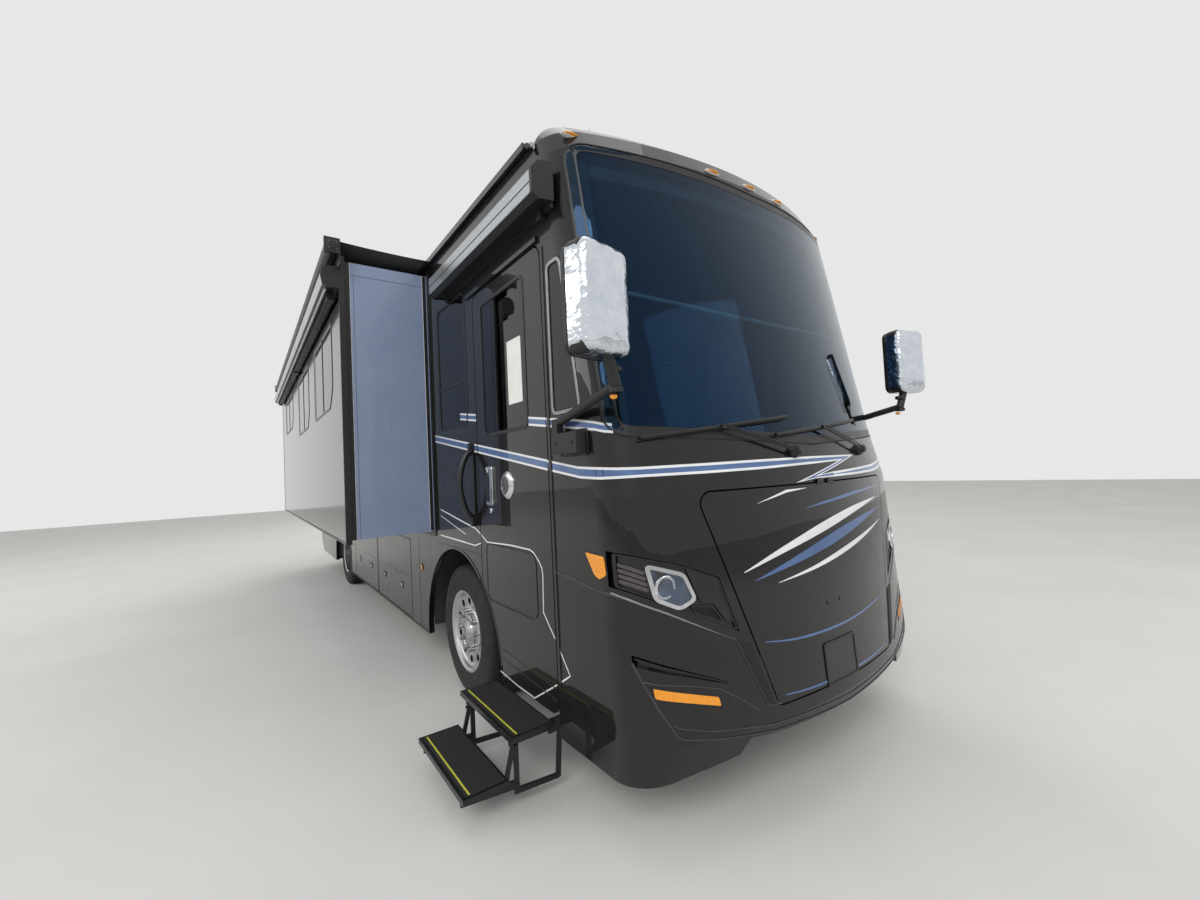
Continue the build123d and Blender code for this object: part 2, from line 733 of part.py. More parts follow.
# Wheel profiles: distance outwards from the wheel's middle, radius
bead = [(-117, 300), (-109, 300), (-103, rim_radius), (103, rim_radius), (109, 300), (117, 300)]
front_disc = bead + [(117, 290), (108, 274), (92, 262), (80, 240), (77, 190), (84, 165), (84, rim_bore_radius),
                     (60, rim_bore_radius), (60, 160), (54, 192), (56, 236), (38, 262), (-100, 270), (-117, 290)]
dual_disc = bead + [(117, 290), (108, 274), (-40, 268), (-70, 255), (-118, 215), (-128.5, 180),
                    (-128.5, rim_bore_radius), (-152.5, rim_bore_radius), (-152.5, 185), (-138, 228),
                    (-92, 266), (-106, 274), (-117, 290)]
front_hub = [(10, front_stub + running_gap), (10, 112), (90, 112), (94, 100), (94, 86), (104, 80),
             (108, 66), (108, 0), (86, 0), (86, front_stub + running_gap)]
rear_hub = [(-80, rear_stub + running_gap), (-80, 112), (26, 112), (26, 168), (38, 168), (38, 112),
            (110, 100), (118, 84), (150, 80), (158, 60), (158, 0), (125, 0), (125, rear_stub + running_gap)]
lug_count = 10
lug_circle = 143.0
hand_circle = 218.0


def round_the_hub(x, radius, length_x, size, turn):
    rods = []
    for i in range(lug_count):
        rods.append(Pos(x, 0, 0) * Rot(360 / lug_count * i + turn, 0, 0) * Pos(0, 0, radius) * Rot(0, 90, 0)
                    * Cylinder(size, length_x))
    return rods


def place_wheel(shape, station):
    return Pos(0, y_of(station), hub_height) * shape


def make_front_wheel(side):
    x = side * wheel_x
    rim = turned(front_disc, x, side)
    for hole in round_the_hub(x + side * 68, hand_circle, 70, 27, 0):
        rim = rim - hole
    rim = rim + turned(front_hub, x, side)
    for lug in round_the_hub(x + side * 99, lug_circle, 46, 17, 18):
        rim = rim + lug
    return place_wheel(tyre_ring(x), front_axle_station), place_wheel(rim, front_axle_station)


def make_rear_wheels(side):
    outer_x = side * wheel_x
    inner_x = side * inner_wheel_x
    tyres = [place_wheel(tyre_ring(x), rear_axle_station) for x in (outer_x, inner_x)]
    mate = side * dual_mate
    rim = turned(dual_disc, outer_x, side) + turned(dual_disc, inner_x, -side)
    for hole in round_the_hub(mate, hand_circle - 20, 120, 27, 0):
        rim = rim - hole
    rim = rim + turned(rear_hub, mate, side)
    for lug in round_the_hub(mate + side * 50, lug_circle, 40, 17, 18):
        rim = rim + lug
    return tyres, place_wheel(rim, rear_axle_station)


# Slide-outs


def make_slide(side, start, end, panes):
    """One slide-out at full reach: face, end walls, roof and floor, open to the coach."""
    inner_end = half - wall - slide_lap
    outside = block(side * slide_face, side * inner_end, start, end, slide_bottom, slide_top)
    inside = block(side * (slide_face + 10), side * (inner_end - 10), start + slide_wall, end - slide_wall,
                   slide_bottom + slide_wall, slide_top - slide_wall)
    lap = slide_flange_lap
    face = block(side * slide_face, side * slide_outer, start - lap, end + lap, slide_bottom - lap, slide_top + lap)
    body = (outside - inside) + face
    panes_out = []
    for station0, station1, z0, z1 in panes:
        pane, cut = slanted_pane(station0, station1, z0, z1, side, slide_outer)
        body = body - cut
        panes_out.append(pane)
    return body, panes_out


patio_case = [(0, 3312), (70, 3316), (112, 3292), (124, 3240), (112, 3176), (78, 3156), (0, 3160)]
door_awning_case = [(20, 3222), (98, 3204), (136, 3158), (136, 3046), (98, 3022), (20, 3030)]


def make_slide_awning(side, start, end, patio):
    x = slide_outer + roller_radius + 2
    height = slide_top + roller_rise
    first = start - topper_overhang - 5
    last = end + topper_overhang + 5
    roller = rod_y(side * x, first, last, height, roller_radius)
    solids = list(roller.solids())
    for s0, s1 in ((first - bracket_width, first), (last, last + bracket_width)):
        plate = block(side * slide_outer, side * (x + roller_radius + 6), s0, s1, height - 58, height + 58)
        solids += list(plate.solids())
        foot = block(side * slide_outer, side * (slide_outer + 8), s0, (start if s0 < start else end + bracket_width) ,
                     height - 140, height - 58)
        solids += list(foot.solids())
    if patio:
        case = prism_y([(side * (slide_outer + x0), z) for x0, z in patio_case], start - 20, end + 20)
        arm = block(side * (slide_outer + 18), side * (slide_outer + 62), start + 120, end - 120, 3112, 3156)
        solids += list(case.solids()) + list(arm.solids())
    return Compound(children=solids)


def make_topper(side, start, end):
    x0 = half + 6
    x1 = slide_outer + roller_radius + 2
    roller_top = slide_top + roller_rise + roller_radius + hinge_clearance
    seat = gutter_top + hinge_clearance
    points = [(side * x0, seat), (side * x1, roller_top), (side * x1, roller_top + 3), (side * x0, seat + 3)]
    return prism_y(points, start - topper_overhang, end + topper_overhang)


# Door, step, cab and fittings


def make_entry_door():
    leaf = door_outline(0, -half, -half + wall)
    pane, cut = seated_pane(1090, 1710, 1920, 2800, -1, half, 50)
    leaf = leaf - cut
    leaf = leaf + block(-half - 18, -half, 1630, 1670, 1490, 1700)
    groove = (rounded_prism_x(-half - 5, -half + 5, 1062, 1760, 846, 1224, 70)
              - rounded_prism_x(-half - 10, -half + 10, 1069, 1753, 853, 1217, 63))
    leaf = leaf - groove
    axis_s = front_seam + door_gap / 2
    radius = door_gap / 2 - hinge_clearance
    for z in (700, 1500, 2400):
        leaf = leaf + rod_z(-half, axis_s, z - 45, z + 45, radius)
        leaf = leaf + block(-half + 0.5, -half + 8, axis_s, door_start + 2, z - 43, z + 43)
    return leaf, pane


def make_bay_door(side, s0, s1):
    door = rounded_prism_x(side * half, side * (half - bay_door_thickness), s0, s1, bay_bottom, bay_top, 30)
    radius = bay_gap / 2 - hinge_clearance
    for s in (s0 + 250, s1 - 250):
        door = door + rod_y(side * half, s - 45, s + 45, bay_top + bay_gap / 2, radius)
        door = door + block(side * (half - 7), side * (half - 0.5), s - 43, s + 43, bay_top - 3, bay_top + 2)
    return door


def make_step():
    """Two treads on two plate frames; each frame hangs on a runner under the stairwell."""
    upper = block(-1488, -1250, step_start, step_end, 345, 372)
    lower = block(-1740, -1510, step_start, step_end, 155, 182)
    solids = upper + lower
    frames = [
        [(-1484, 345), (-1250, 345), (-1250, 318), (-1484, 318)],
        [(-1462, 335), (-1436, 335), (-1436, 88), (-1462, 90)],
        [(-1462, 76), (-1206, 58), (-1206, 84), (-1462, 104)],
        [(-1226, 64), (-1198, 64), (-1178, 330), (-1204, 330)],
        [(-1440, 100), (-1738, 130), (-1738, 165), (-1440, 142)],
        [(-1470, 335), (-1446, 335), (-1500, 130), (-1524, 130)],
    ]
    for s in step_bars:
        for points in frames:
            solids = solids + prism_y(points, s, s + step_bar)
        runner = block(-1260, -760, s, s + step_bar, 300, 372) + block(-1150, -760, s, s + step_bar, 370, 425)
        solids = solids + runner
    return solids + block(-800, -770, step_bars[0], step_bars[1] + step_bar, 300, 330)


def make_dash():
    points = [(470, 1180), (900, 1180), (900, 1500), (820, 1720), (640, 1790), (470, 1760)]
    dash = prism_x(points, -half + wall + 60, half - wall - 60, 20)
    boss = Pos(0, 0, -245) * Cylinder(46, 190)
    socket = Pos(0, 0, -175) * Cylinder(28.4, 80)
    place = Pos(620, y_of(1060), 1830) * Rot(-52, 0, 0)
    return dash + place * boss - place * socket


def make_steering_wheel():
    ring = Torus(220, 16) + Cylinder(60, 30)
    for angle in (0, 120, 240):
        ring = ring + Rot(0, 0, angle) * Pos(110, 0, 0) * Box(215, 26, 14)
    column = Pos(0, 0, -110) * Cylinder(28, 208)
    return Pos(620, y_of(1060), 1830) * Rot(-52, 0, 0) * (ring + column)


def make_seat(x, station):
    base = rod_z(x, station, deck_top, deck_top + 250, 120)
    cushion = Pos(x, y_of(station), deck_top + 330) * fillet(Box(540, 520, 160).edges(), 40)
    back = Pos(x, y_of(station + 250), deck_top + 700) * Rot(-8, 0, 0) * fillet(Box(520, 140, 760).edges(), 45)
    return joined(base, cushion, back)


def make_mirrors():
    """Boxy bases on the nose's sides, bent arms and tall upright heads ahead of the windshield."""
    base = block(-half - 62, -half, 520, 742, 1752, 1852)
    base = base + block(-half - 58, -half - 20, 690, 738, 1850, 1925)
    arm = rod_between((-half - 38, 712, 1905), (-half - 62, 205, 2010), 21)
    elbow = Pos(-half - 62, y_of(205), 2010) * Sphere(24)
    riser = rod_between((-half - 62, 205, 2010), (-half - 110, 190, 2140), 24)
    head = Pos(-half - 146, y_of(190), 2336) * Rot(0, 0, 12) * fillet(Box(272, 130, 448).edges(), 42)
    return both_sides(joined(base, arm, elbow, riser, head))


def make_wipers():
    solids = []
    for x in (-200, 560):
        post = rod_y(x, front_station(x, 1700) - 40, front_station(x, 1700) + 60, 1710, 16) - outer_form
        route = [(x - 90 * i, 1712 + 26 * i) for i in range(6)]
        arm = surface_rods(route, 34, 7)
        spine = [(x - 450 + 110 * i, 1850 + 12 * i) for i in range(-4, 5)]
        blade = surface_rods(spine, 26, 9)
        solids += list(joined(post, arm, blade).solids())
    return Compound(children=solids)


def surface_rods(route, lift, radius):
    """A bar that follows the front surface through (x, height) points at a lift above it."""
    points = [(x, front_station(x, z) - lift, z) for x, z in route]
    bar = rod_between(points[0], points[1], radius)
    for a, b in zip(points[1:], points[2:]):
        bar = bar + rod_between(a, b, radius) + Pos(a[0], y_of(a[1]), a[2]) * Sphere(radius)
    return bar


def make_roof_units():
    units = []
    for station in (3300, 7200):
        place = Pos(0, y_of(station), 3540)
        shroud = place * extrude(RectangleRounded(740, 1040, 100), 245, taper=12)
        core = place * extrude(RectangleRounded(716, 1016, 90), 245, taper=12)
        shroud = chamfer(shroud.edges().group_by(Axis.Z)[-1], 14)
        for i in range(5):
            z = 3600 + 26 * i
            shroud = shroud - (block(-400, 400, station + 130, station + 560, z, z + 12) - core)
        units.append(shroud - outer_form)
    vent = block(300, 700, 5100, 5500, 3545, 3640) - outer_form
    units.append(vent)
    return Compound(children=[solid for unit in units for solid in unit.solids()])


def make_door_awning():
    case = prism_y([(-half - x, z) for x, z in door_awning_case], 700, 2330)
    rail = block(-half - 20, -half, 722, 2330, 3005, 3140)
    return case + rail


def make_engine():
    between = rail_outer - rail_width
    engine = block(-between, between, rear_axle_station + 700, length - 500, 560, 1100)
    generator = block(-between, between, 430, 900, 560, 1080)
    return Compound(children=list(engine.solids()) + list(generator.solids()))


def make_tanks():
    between = rail_outer - rail_width
    fuel = block(-between, between, 3300, 4100, 560, 1050)
    water = block(-between, between, 5450, 6500, 560, 1050)
    return Compound(children=list(fuel.solids()) + list(water.solids()))


def make_cabinets():
    over = block(-900, 900, 800, 1150, 2950, crown_height) & coach_form(wall + hinge_clearance)
    return over


def make_jacks():
    feet = []
    for station in jack_stations:
        for side in (1, -1):
            ram = rod_z(side * (rail_outer + 60), station, 300, 800, jack_radius)
            pad = rod_z(side * (rail_outer + 60), station, 270, 300, 110)
            feet += list((ram + pad).solids())
    return Compound(children=feet)


def make_handle():
    """A loop handle on two feet, with a finger gap behind it."""
    s = handle_station
    x0 = -half - handle_gap
    bar = block(x0, x0 - handle_depth, s, s + handle_width, handle_bottom, handle_top)
    low = block(-half, x0, s, s + handle_width, handle_bottom, handle_bottom + handle_foot)
    high = block(-half, x0, s, s + handle_width, handle_top - handle_foot, handle_top)
    return Compound(children=[bar, low, high])


def main():
    os.makedirs("parts", exist_ok=True)
    front_cap, windshield, quarter = make_front_cap()
    save("front_cap", front_cap)
    save("windshield", windshield)
    right_panel, right_panes = make_side(-1, side_panes_right, (right_slide_start, right_slide_end))
    left_panel, left_panes = make_side(1, side_panes_left, (left_slide_start, left_slide_end))
    save("wall_right", right_panel)
    save("wall_left", left_panel)
    save("side_glass", Compound(children=[solid for pane in [quarter] + right_panes + left_panes
                                          for solid in pane.solids()]))
    save("skirts", make_skirts())
    save("roof_panel", make_roof())
    save("rear_cap", make_rear_cap())
    save("engine_door", make_engine_door())
    save("lamps", make_lamps())
    save("floor_deck", make_deck())
    save("slide_rollers", make_slide_rollers())
    save("stairwell", make_stairwell())
    save("storage_bays", make_storage_bays())
    save("front_hatch", make_front_hatch())
    save("frame_rails", make_rails())
    save("chassis_frame", make_cross_members())
    save("hitch_receiver", make_hitch_receiver())
    save("axles", make_axles())
    save("springs", make_springs())
    save("grab_handle", make_handle())
    save("jack_feet", make_jacks())
    save("power_units", make_engine())
    save("tanks", make_tanks())
    save("dash", make_dash())
    save("cabinets", make_cabinets())
    save("steering_wheel", make_steering_wheel())
    save("seat_driver", make_seat(620, 1750))
    save("seat_passenger", make_seat(-560, 2250))
    save("mirrors", make_mirrors())
    save("wipers", make_wipers())
    save("roof_units", make_roof_units())
    save("door_awning", make_door_awning())
    for side, name in ((-1, "right"), (1, "left")):
        save("knuckle_" + name, make_knuckle(side))
        tyre, rim = make_front_wheel(side)
        save("front_tyre_" + name, tyre)
        save("front_rim_" + name, rim)
        tyres, rims = make_rear_wheels(side)
        save("rear_tyres_" + name, Compound(children=[solid for one in tyres for solid in one.solids()]))
        save("rear_rims_" + name, rims)
    leaf, pane = make_entry_door()
    save("entry_door", leaf)
    save("entry_door_glass", pane)
    save("entry_step", make_step())
    slides = [(-1, "right", right_slide_start, right_slide_end, slide_panes_right, True),
              (1, "left", left_slide_start, left_slide_end, slide_panes_left, False)]
    for side, name, start, end, panes, patio in slides:
        body, glass = make_slide(side, start, end, panes)
        save("slide_" + name, body)
        save("slide_glass_" + name, Compound(children=[solid for one in glass for solid in one.solids()]))
        save("slide_awning_" + name, make_slide_awning(side, start, end, patio))
        save("topper_" + name, make_topper(side, start, end))
        for index, (s0, s1) in enumerate(bay_stations):
            door = make_bay_door(side, s0, s1)
            save("bay_door_" + name + "_" + str(index + 1), door)


main()
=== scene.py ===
import bpy
import bmesh
from math import asin, ceil, cos, exp, pi, radians, sin
from mathutils import Matrix, Vector


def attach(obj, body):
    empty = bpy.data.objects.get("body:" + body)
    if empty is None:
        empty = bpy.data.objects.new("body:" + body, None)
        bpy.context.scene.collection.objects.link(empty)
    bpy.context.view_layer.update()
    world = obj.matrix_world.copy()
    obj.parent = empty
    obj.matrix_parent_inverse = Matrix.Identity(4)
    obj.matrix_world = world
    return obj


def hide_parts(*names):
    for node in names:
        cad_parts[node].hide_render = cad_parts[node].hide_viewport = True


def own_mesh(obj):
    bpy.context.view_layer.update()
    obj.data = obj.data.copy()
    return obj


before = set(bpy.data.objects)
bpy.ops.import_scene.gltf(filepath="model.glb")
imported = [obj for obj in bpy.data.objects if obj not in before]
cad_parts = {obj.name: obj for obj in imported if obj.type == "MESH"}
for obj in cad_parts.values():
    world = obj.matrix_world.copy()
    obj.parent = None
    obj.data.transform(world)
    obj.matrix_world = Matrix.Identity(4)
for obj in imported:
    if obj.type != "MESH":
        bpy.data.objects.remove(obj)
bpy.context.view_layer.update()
print("frame loaded")

# Main sizes of the coach in metres. Stations run rearwards from the nose; x is positive on the driver's side.
coach = {
    "length": 10.39,
    "half": 1.23,
    "bow": 3.25,
    "corner": 0.24,
    "nose": [(0.3, 0.04), (0.48, 0), (1.54, 0.075), (1.8, 0.14), (3.32, 0.43), (3.43, 0.49), (3.6, 0.7)],
    "frontSeam": 0.885,
    "rearSeam": 9.97,
    "slideOuter": 1.905,
    "deck": 1.18,
    "axles": (2.335, 7.62),
    "hub": 0.49,
    "wheelX": 1.0625,
    "dualSpacing": 0.305,
}
half = coach["half"]
cornerX = half - coach["corner"]
bowReach = coach["bow"] - coach["corner"]
bowAngle = asin(cornerX / bowReach)
bowLength = coach["bow"] * bowAngle
cornerLength = coach["corner"] * (pi / 2 - bowAngle)
cornerDepth = coach["bow"] - bowReach * cos(bowAngle)


# Places on the body

sides = ((-1, "right"), (1, "left"))


def yOf(station):
    return station - coach["length"] / 2


def at(x, station, z):
    return Vector((x, yOf(station), z))


def noseAt(z):
    rows = coach["nose"]
    for (z0, s0), (z1, s1) in zip(rows, rows[1:]):
        if z <= z1:
            return s0 + (s1 - s0) * (z - z0) / (z1 - z0)
    return rows[-1][1]


def onHull(u, z, lift):
    # u is the way round the body from the middle of the nose, negative on the curb side
    side = -1 if u < 0 else 1
    way = abs(u)
    nose = noseAt(z)
    if way <= bowLength:
        angle = way / coach["bow"]
        x, s = coach["bow"] * sin(angle), nose + coach["bow"] * (1 - cos(angle))
    elif way <= bowLength + cornerLength:
        angle = bowAngle + (way - bowLength) / coach["corner"]
        x = cornerX + coach["corner"] * sin(angle)
        s = nose + cornerDepth - coach["corner"] * cos(angle)
    else:
        angle = pi / 2
        x, s = half, nose + cornerDepth + way - bowLength - cornerLength
    return at(side * (x + lift * sin(angle)), s - lift * cos(angle), z)


def uFromX(x):
    way = abs(x)
    if way <= coach["bow"] * sin(bowAngle):
        u = coach["bow"] * asin(way / coach["bow"])
    else:
        u = bowLength + coach["corner"] * (asin(min((way - cornerX) / coach["corner"], 1)) - bowAngle)
    return u if x > 0 else -u


def uFromStation(side, station, z):
    return side * (bowLength + cornerLength + station - noseAt(z) - cornerDepth)


def onNose(x, z, lift):
    return onHull(uFromX(x), z, lift)


def onSide(side, face=half):
    return lambda station, z, lift: at(side * (face + lift), station, z)


def onEnd(station, direction):
    return lambda x, z, lift: Vector((x, yOf(station) + direction * lift, z))


def onTop(height):
    return lambda x, station, lift: at(x, station, height + lift)


# Mesh building: every helper adds closed forms to this shape, which finishPiece makes a piece of and empties

shape = bmesh.new()


def addLoft(rings, index=0, around=False):
    made = [[shape.verts.new(point) for point in ring] for ring in rings]
    count = len(rings[0])
    pairs = list(zip(made, made[1:]))
    if around:
        pairs.append((made[-1], made[0]))
    for low, high in pairs:
        for i in range(count):
            j = (i + 1) % count
            shape.faces.new((low[i], low[j], high[j], high[i])).material_index = index
    if not around:
        shape.faces.new(made[0][::-1]).material_index = index
        shape.faces.new(made[-1]).material_index = index


def addBox(low, high, index=0):
    corners = [(low[0], low[1]), (high[0], low[1]), (high[0], high[1]), (low[0], high[1])]
    addLoft([[(x, y, z) for x, y in corners] for z in (low[2], high[2])], index)


def addBlock(x0, x1, station0, station1, z0, z1, index=0):
    addBox(at(x0, station0, z0), at(x1, station1, z1), index)


def turns(steps):
    return [2 * pi * k / steps for k in range(steps)]


def addTube(path, radius, facets=10, index=0):
    points = [Vector(point) for point in path]
    count = len(points)
    radii = radius if isinstance(radius, (list, tuple)) else [radius] * count
    rings = []
    side = None
    for i, point in enumerate(points):
        before = points[max(i - 1, 0)]
        after = points[min(i + 1, count - 1)]
        along = (after - before).normalized()
        if side is None:
            side = along.orthogonal().normalized()
        side = (side - along * side.dot(along)).normalized()
        other = along.cross(side)
        rings.append([point + (side * cos(a) + other * sin(a)) * radii[i] for a in turns(facets)])
    addLoft(rings, index)


def turned(centre, axis, profile, steps):
    # a profile of (distance along the axis, radius) at every step round the axis
    along = Vector(axis).normalized()
    side = along.orthogonal().normalized()
    other = along.cross(side)
    return [[Vector(centre) + along * a + (side * cos(t) + other * sin(t)) * r for a, r in profile]
            for t in turns(steps)]


def addLathe(profile, centre, axis, steps=48, index=0):
    # the profile is a closed outline
    addLoft(turned(centre, axis, profile, steps), index, around=True)


def addDisc(centre, axis, profile, steps=32, index=0):
    # the profile runs from the back edge to the tip
    addLoft(list(zip(*turned(centre, axis, profile, steps))), index)


def rounded(a0, a1, b0, b1, radius, steps=5):
    outline = []
    for a, b, turn in ((a1 - radius, b1 - radius, 0), (a0 + radius, b1 - radius, 90),
                       (a0 + radius, b0 + radius, 180), (a1 - radius, b0 + radius, 270)):
        for i in range(steps + 1):
            angle = radians(turn + 90 * i / steps)
            outline.append((a + radius * cos(angle), b + radius * sin(angle)))
    return outline


def softened(corners, radius, steps=5):
    # rounds the corners of any outline
    outline = []
    count = len(corners)
    for i in range(count):
        point = Vector(corners[i])
        back = Vector(corners[i - 1]) - point
        onward = Vector(corners[(i + 1) % count]) - point
        reach = min(radius, back.length * 0.45, onward.length * 0.45)
        start = point + back.normalized() * reach
        end = point + onward.normalized() * reach
        for k in range(steps + 1):
            t = k / steps
            outline.append(tuple(start * (1 - t) ** 2 + point * 2 * t * (1 - t) + end * t ** 2))
    return outline


def grown(outline, amount):
    # moves a closed outline outwards by an amount, or inwards where it is negative
    area = sum(a[0] * b[1] - b[0] * a[1] for a, b in zip(outline, outline[1:] + outline[:1]))
    turn = 1 if area > 0 else -1
    result = []
    count = len(outline)
    for i in range(count):
        before, here, after = Vector(outline[i - 1]), Vector(outline[i]), Vector(outline[(i + 1) % count])
        first = here - before if (here - before).length > 1e-7 else after - here
        second = after - here if (after - here).length > 1e-7 else first
        n1 = Vector((first.y, -first.x)).normalized()
        n2 = Vector((second.y, -second.x)).normalized()
        mid = (n1 + n2).normalized()
        result.append(tuple(here + mid * (turn * amount / max(mid.dot(n1), 0.35))))
    return result


def divided(points, step, closed=False):
    result = []
    ends = list(zip(points, points[1:] + points[:1])) if closed else list(zip(points, points[1:]))
    for a, b in ends:
        pieces = max(1, ceil((Vector(b) - Vector(a)).length / step))
        result += [tuple(Vector(a).lerp(Vector(b), i / pieces)) for i in range(pieces)]
    if not closed:
        result.append(tuple(points[-1]))
    return result


def addLoop(outline, place, inner, outer, low, high, index=0, step=0.06):
    # a frame that follows a closed outline, from inner to outer across and from low to high in lift
    line = divided(list(outline), step, closed=True)
    near, far = grown(line, inner), grown(line, outer)
    rings = [[place(*a, low), place(*b, low), place(*b, high), place(*a, high)] for a, b in zip(near, far)]
    addLoft(rings, index, around=True)


def addRung(first, second, t, side, width, low, high, index=0, step=0.03):
    # a strip on the nose from a place along one edge to the same part of another
    line = [Vector(a).lerp(Vector(b), t) for a, b in (first, second)]
    addLine([(side * p.x, p.y) for p in line], width, onNose, low, high, index, step)


def addPlate(outline, place, low, high, index=0):
    # a flat plate with a straight edge
    addLoft([[place(a, b, lift) for a, b in outline] for lift in (low, high)], index)


def addTrims(rows, place, a=0, b=0, step=0.06):
    # rounded frames and plates: edges as seen from (a, b), corner, a frame's inner and outer growth,
    # low, high and index
    for a0, a1, b0, b1, corner, *growth, low, high, index in rows:
        outline = rounded(a + a0, a + a1, b + b0, b + b1, corner)
        if growth:
            addLoop(outline, place, *growth, low, high, index, step)
        else:
            addPlate(outline, place, low, high, index)


def addPatch(outline, place, low, high, index=0, step=0.045):
    # a plate that follows a curved surface, cut into a fine grid first
    flat = bmesh.new()
    flat.faces.new([flat.verts.new((a, b, 0)) for a, b in outline])
    for axis in (0, 1):
        values = [point[axis] for point in outline]
        place0 = min(values) + step
        while place0 < max(values) - step * 0.2:
            normal = (1, 0, 0) if axis == 0 else (0, 1, 0)
            point = (place0, 0, 0) if axis == 0 else (0, place0, 0)
            everything = flat.verts[:] + flat.edges[:] + flat.faces[:]
            bmesh.ops.bisect_plane(flat, geom=everything, plane_co=point, plane_no=normal, dist=1e-6)
            place0 += step
    bmesh.ops.triangulate(flat, faces=flat.faces[:])
    flat.verts.index_update()
    top = [shape.verts.new(place(vert.co.x, vert.co.y, high)) for vert in flat.verts]
    base = [shape.verts.new(place(vert.co.x, vert.co.y, low)) for vert in flat.verts]
    for face in flat.faces:
        corners = [vert.index for vert in face.verts]
        shape.faces.new([top[i] for i in corners]).material_index = index
        shape.faces.new([base[i] for i in reversed(corners)]).material_index = index
    for edge in flat.edges:
        if edge.is_boundary:
            i, j = edge.verts[0].index, edge.verts[1].index
            shape.faces.new((top[i], top[j], base[j], base[i])).material_index = index
    flat.free()


def addRibbon(lower, upper, place, low, high, index=0, step=0.03, across=1):
    # a strip between two edge lines of (a, b) points, following the surface
    rows = []
    for (a0, b0), (a1, b1) in zip(zip(lower, upper), zip(lower[1:], upper[1:])):
        pieces = max(1, ceil(max((Vector(a1) - Vector(a0)).length, (Vector(b1) - Vector(b0)).length) / step))
        rows += [(Vector(a0).lerp(Vector(a1), i / pieces), Vector(b0).lerp(Vector(b1), i / pieces))
                 for i in range(pieces)]
    rows.append((Vector(lower[-1]), Vector(upper[-1])))
    rings = []
    for near, far in rows:
        line = [near.lerp(far, k / across) for k in range(across + 1)]
        rings.append([place(*p, low) for p in line] + [place(*p, high) for p in reversed(line)])
    addLoft(rings, index)


def addLine(points, width, place, low, high, index=0, step=0.03):
    # a strip of even width along a line of (a, b) points
    line = [Vector(point) for point in divided(points, step)]
    near, far = [], []
    for i, point in enumerate(line):
        along = (line[min(i + 1, len(line) - 1)] - line[max(i - 1, 0)]).normalized()
        normal = Vector((-along.y, along.x))
        near.append(tuple(point - normal * width / 2))
        far.append(tuple(point + normal * width / 2))
    addRibbon(near, far, place, low, high, index, step=1)


def finishPiece(name, body, names, bevel=0, angle=35, segments=2, replaces=()):
    # names are those of the finishes, in the order of the indexes used in the shape
    bmesh.ops.recalc_face_normals(shape, faces=shape.faces[:])
    mesh = bpy.data.meshes.new(name)
    shape.to_mesh(mesh)
    shape.clear()
    for finish in names.split():
        mesh.materials.append(finishes[finish])
    mesh.shade_smooth()
    mesh.set_sharp_from_angle(angle=radians(angle))
    piece = bpy.data.objects.new(name, mesh)
    bpy.context.scene.collection.objects.link(piece)
    if bevel:
        edge = piece.modifiers.new("edges", "BEVEL")
        edge.width = bevel
        edge.segments = segments
        edge.limit_method = "ANGLE"
        edge.angle_limit = radians(angle)
        edge.use_clamp_overlap = True
    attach(piece, body)
    if replaces:
        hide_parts(*replaces)
    return piece


# Materials: one maker, with patterns sized in millimetres

def colour(hexText):
    parts = [int(hexText[i:i + 2], 16) / 255 for i in (1, 3, 5)]
    return (*[p / 12.92 if p <= 0.04045 else ((p + 0.055) / 1.055) ** 2.4 for p in parts], 1)


def addNode(tree, kind, inputs=None, output=0, **settings):
    node = tree.nodes.new("ShaderNode" + kind)
    for key, value in settings.items():
        setattr(node, key, value)
    for key, value in (inputs or {}).items():
        if isinstance(value, bpy.types.NodeSocket):
            tree.links.new(value, node.inputs[key])
        else:
            node.inputs[key].default_value = value
    return node.outputs[output]


finishes = {}
# the pattern nodes of each relief, with inputs, output and settings; a weave is two crossed sets of lines
reliefKinds = {
    "noise": [("TexNoise", {"Detail": 3}, "Fac", {})],
    "cells": [("TexVoronoi", {}, "Distance", {"feature": "SMOOTH_F1"})],
    "cracks": [("TexVoronoi", {}, "Distance", {"feature": "DISTANCE_TO_EDGE"})],
    "linesY": [("TexWave", {}, "Fac", {"bands_direction": "Y"})],
    "linesZ": [("TexWave", {}, "Fac", {"bands_direction": "Z"})],
    "weave": [("TexWave", {}, "Fac", {"bands_direction": axis}) for axis in "XY"],
}


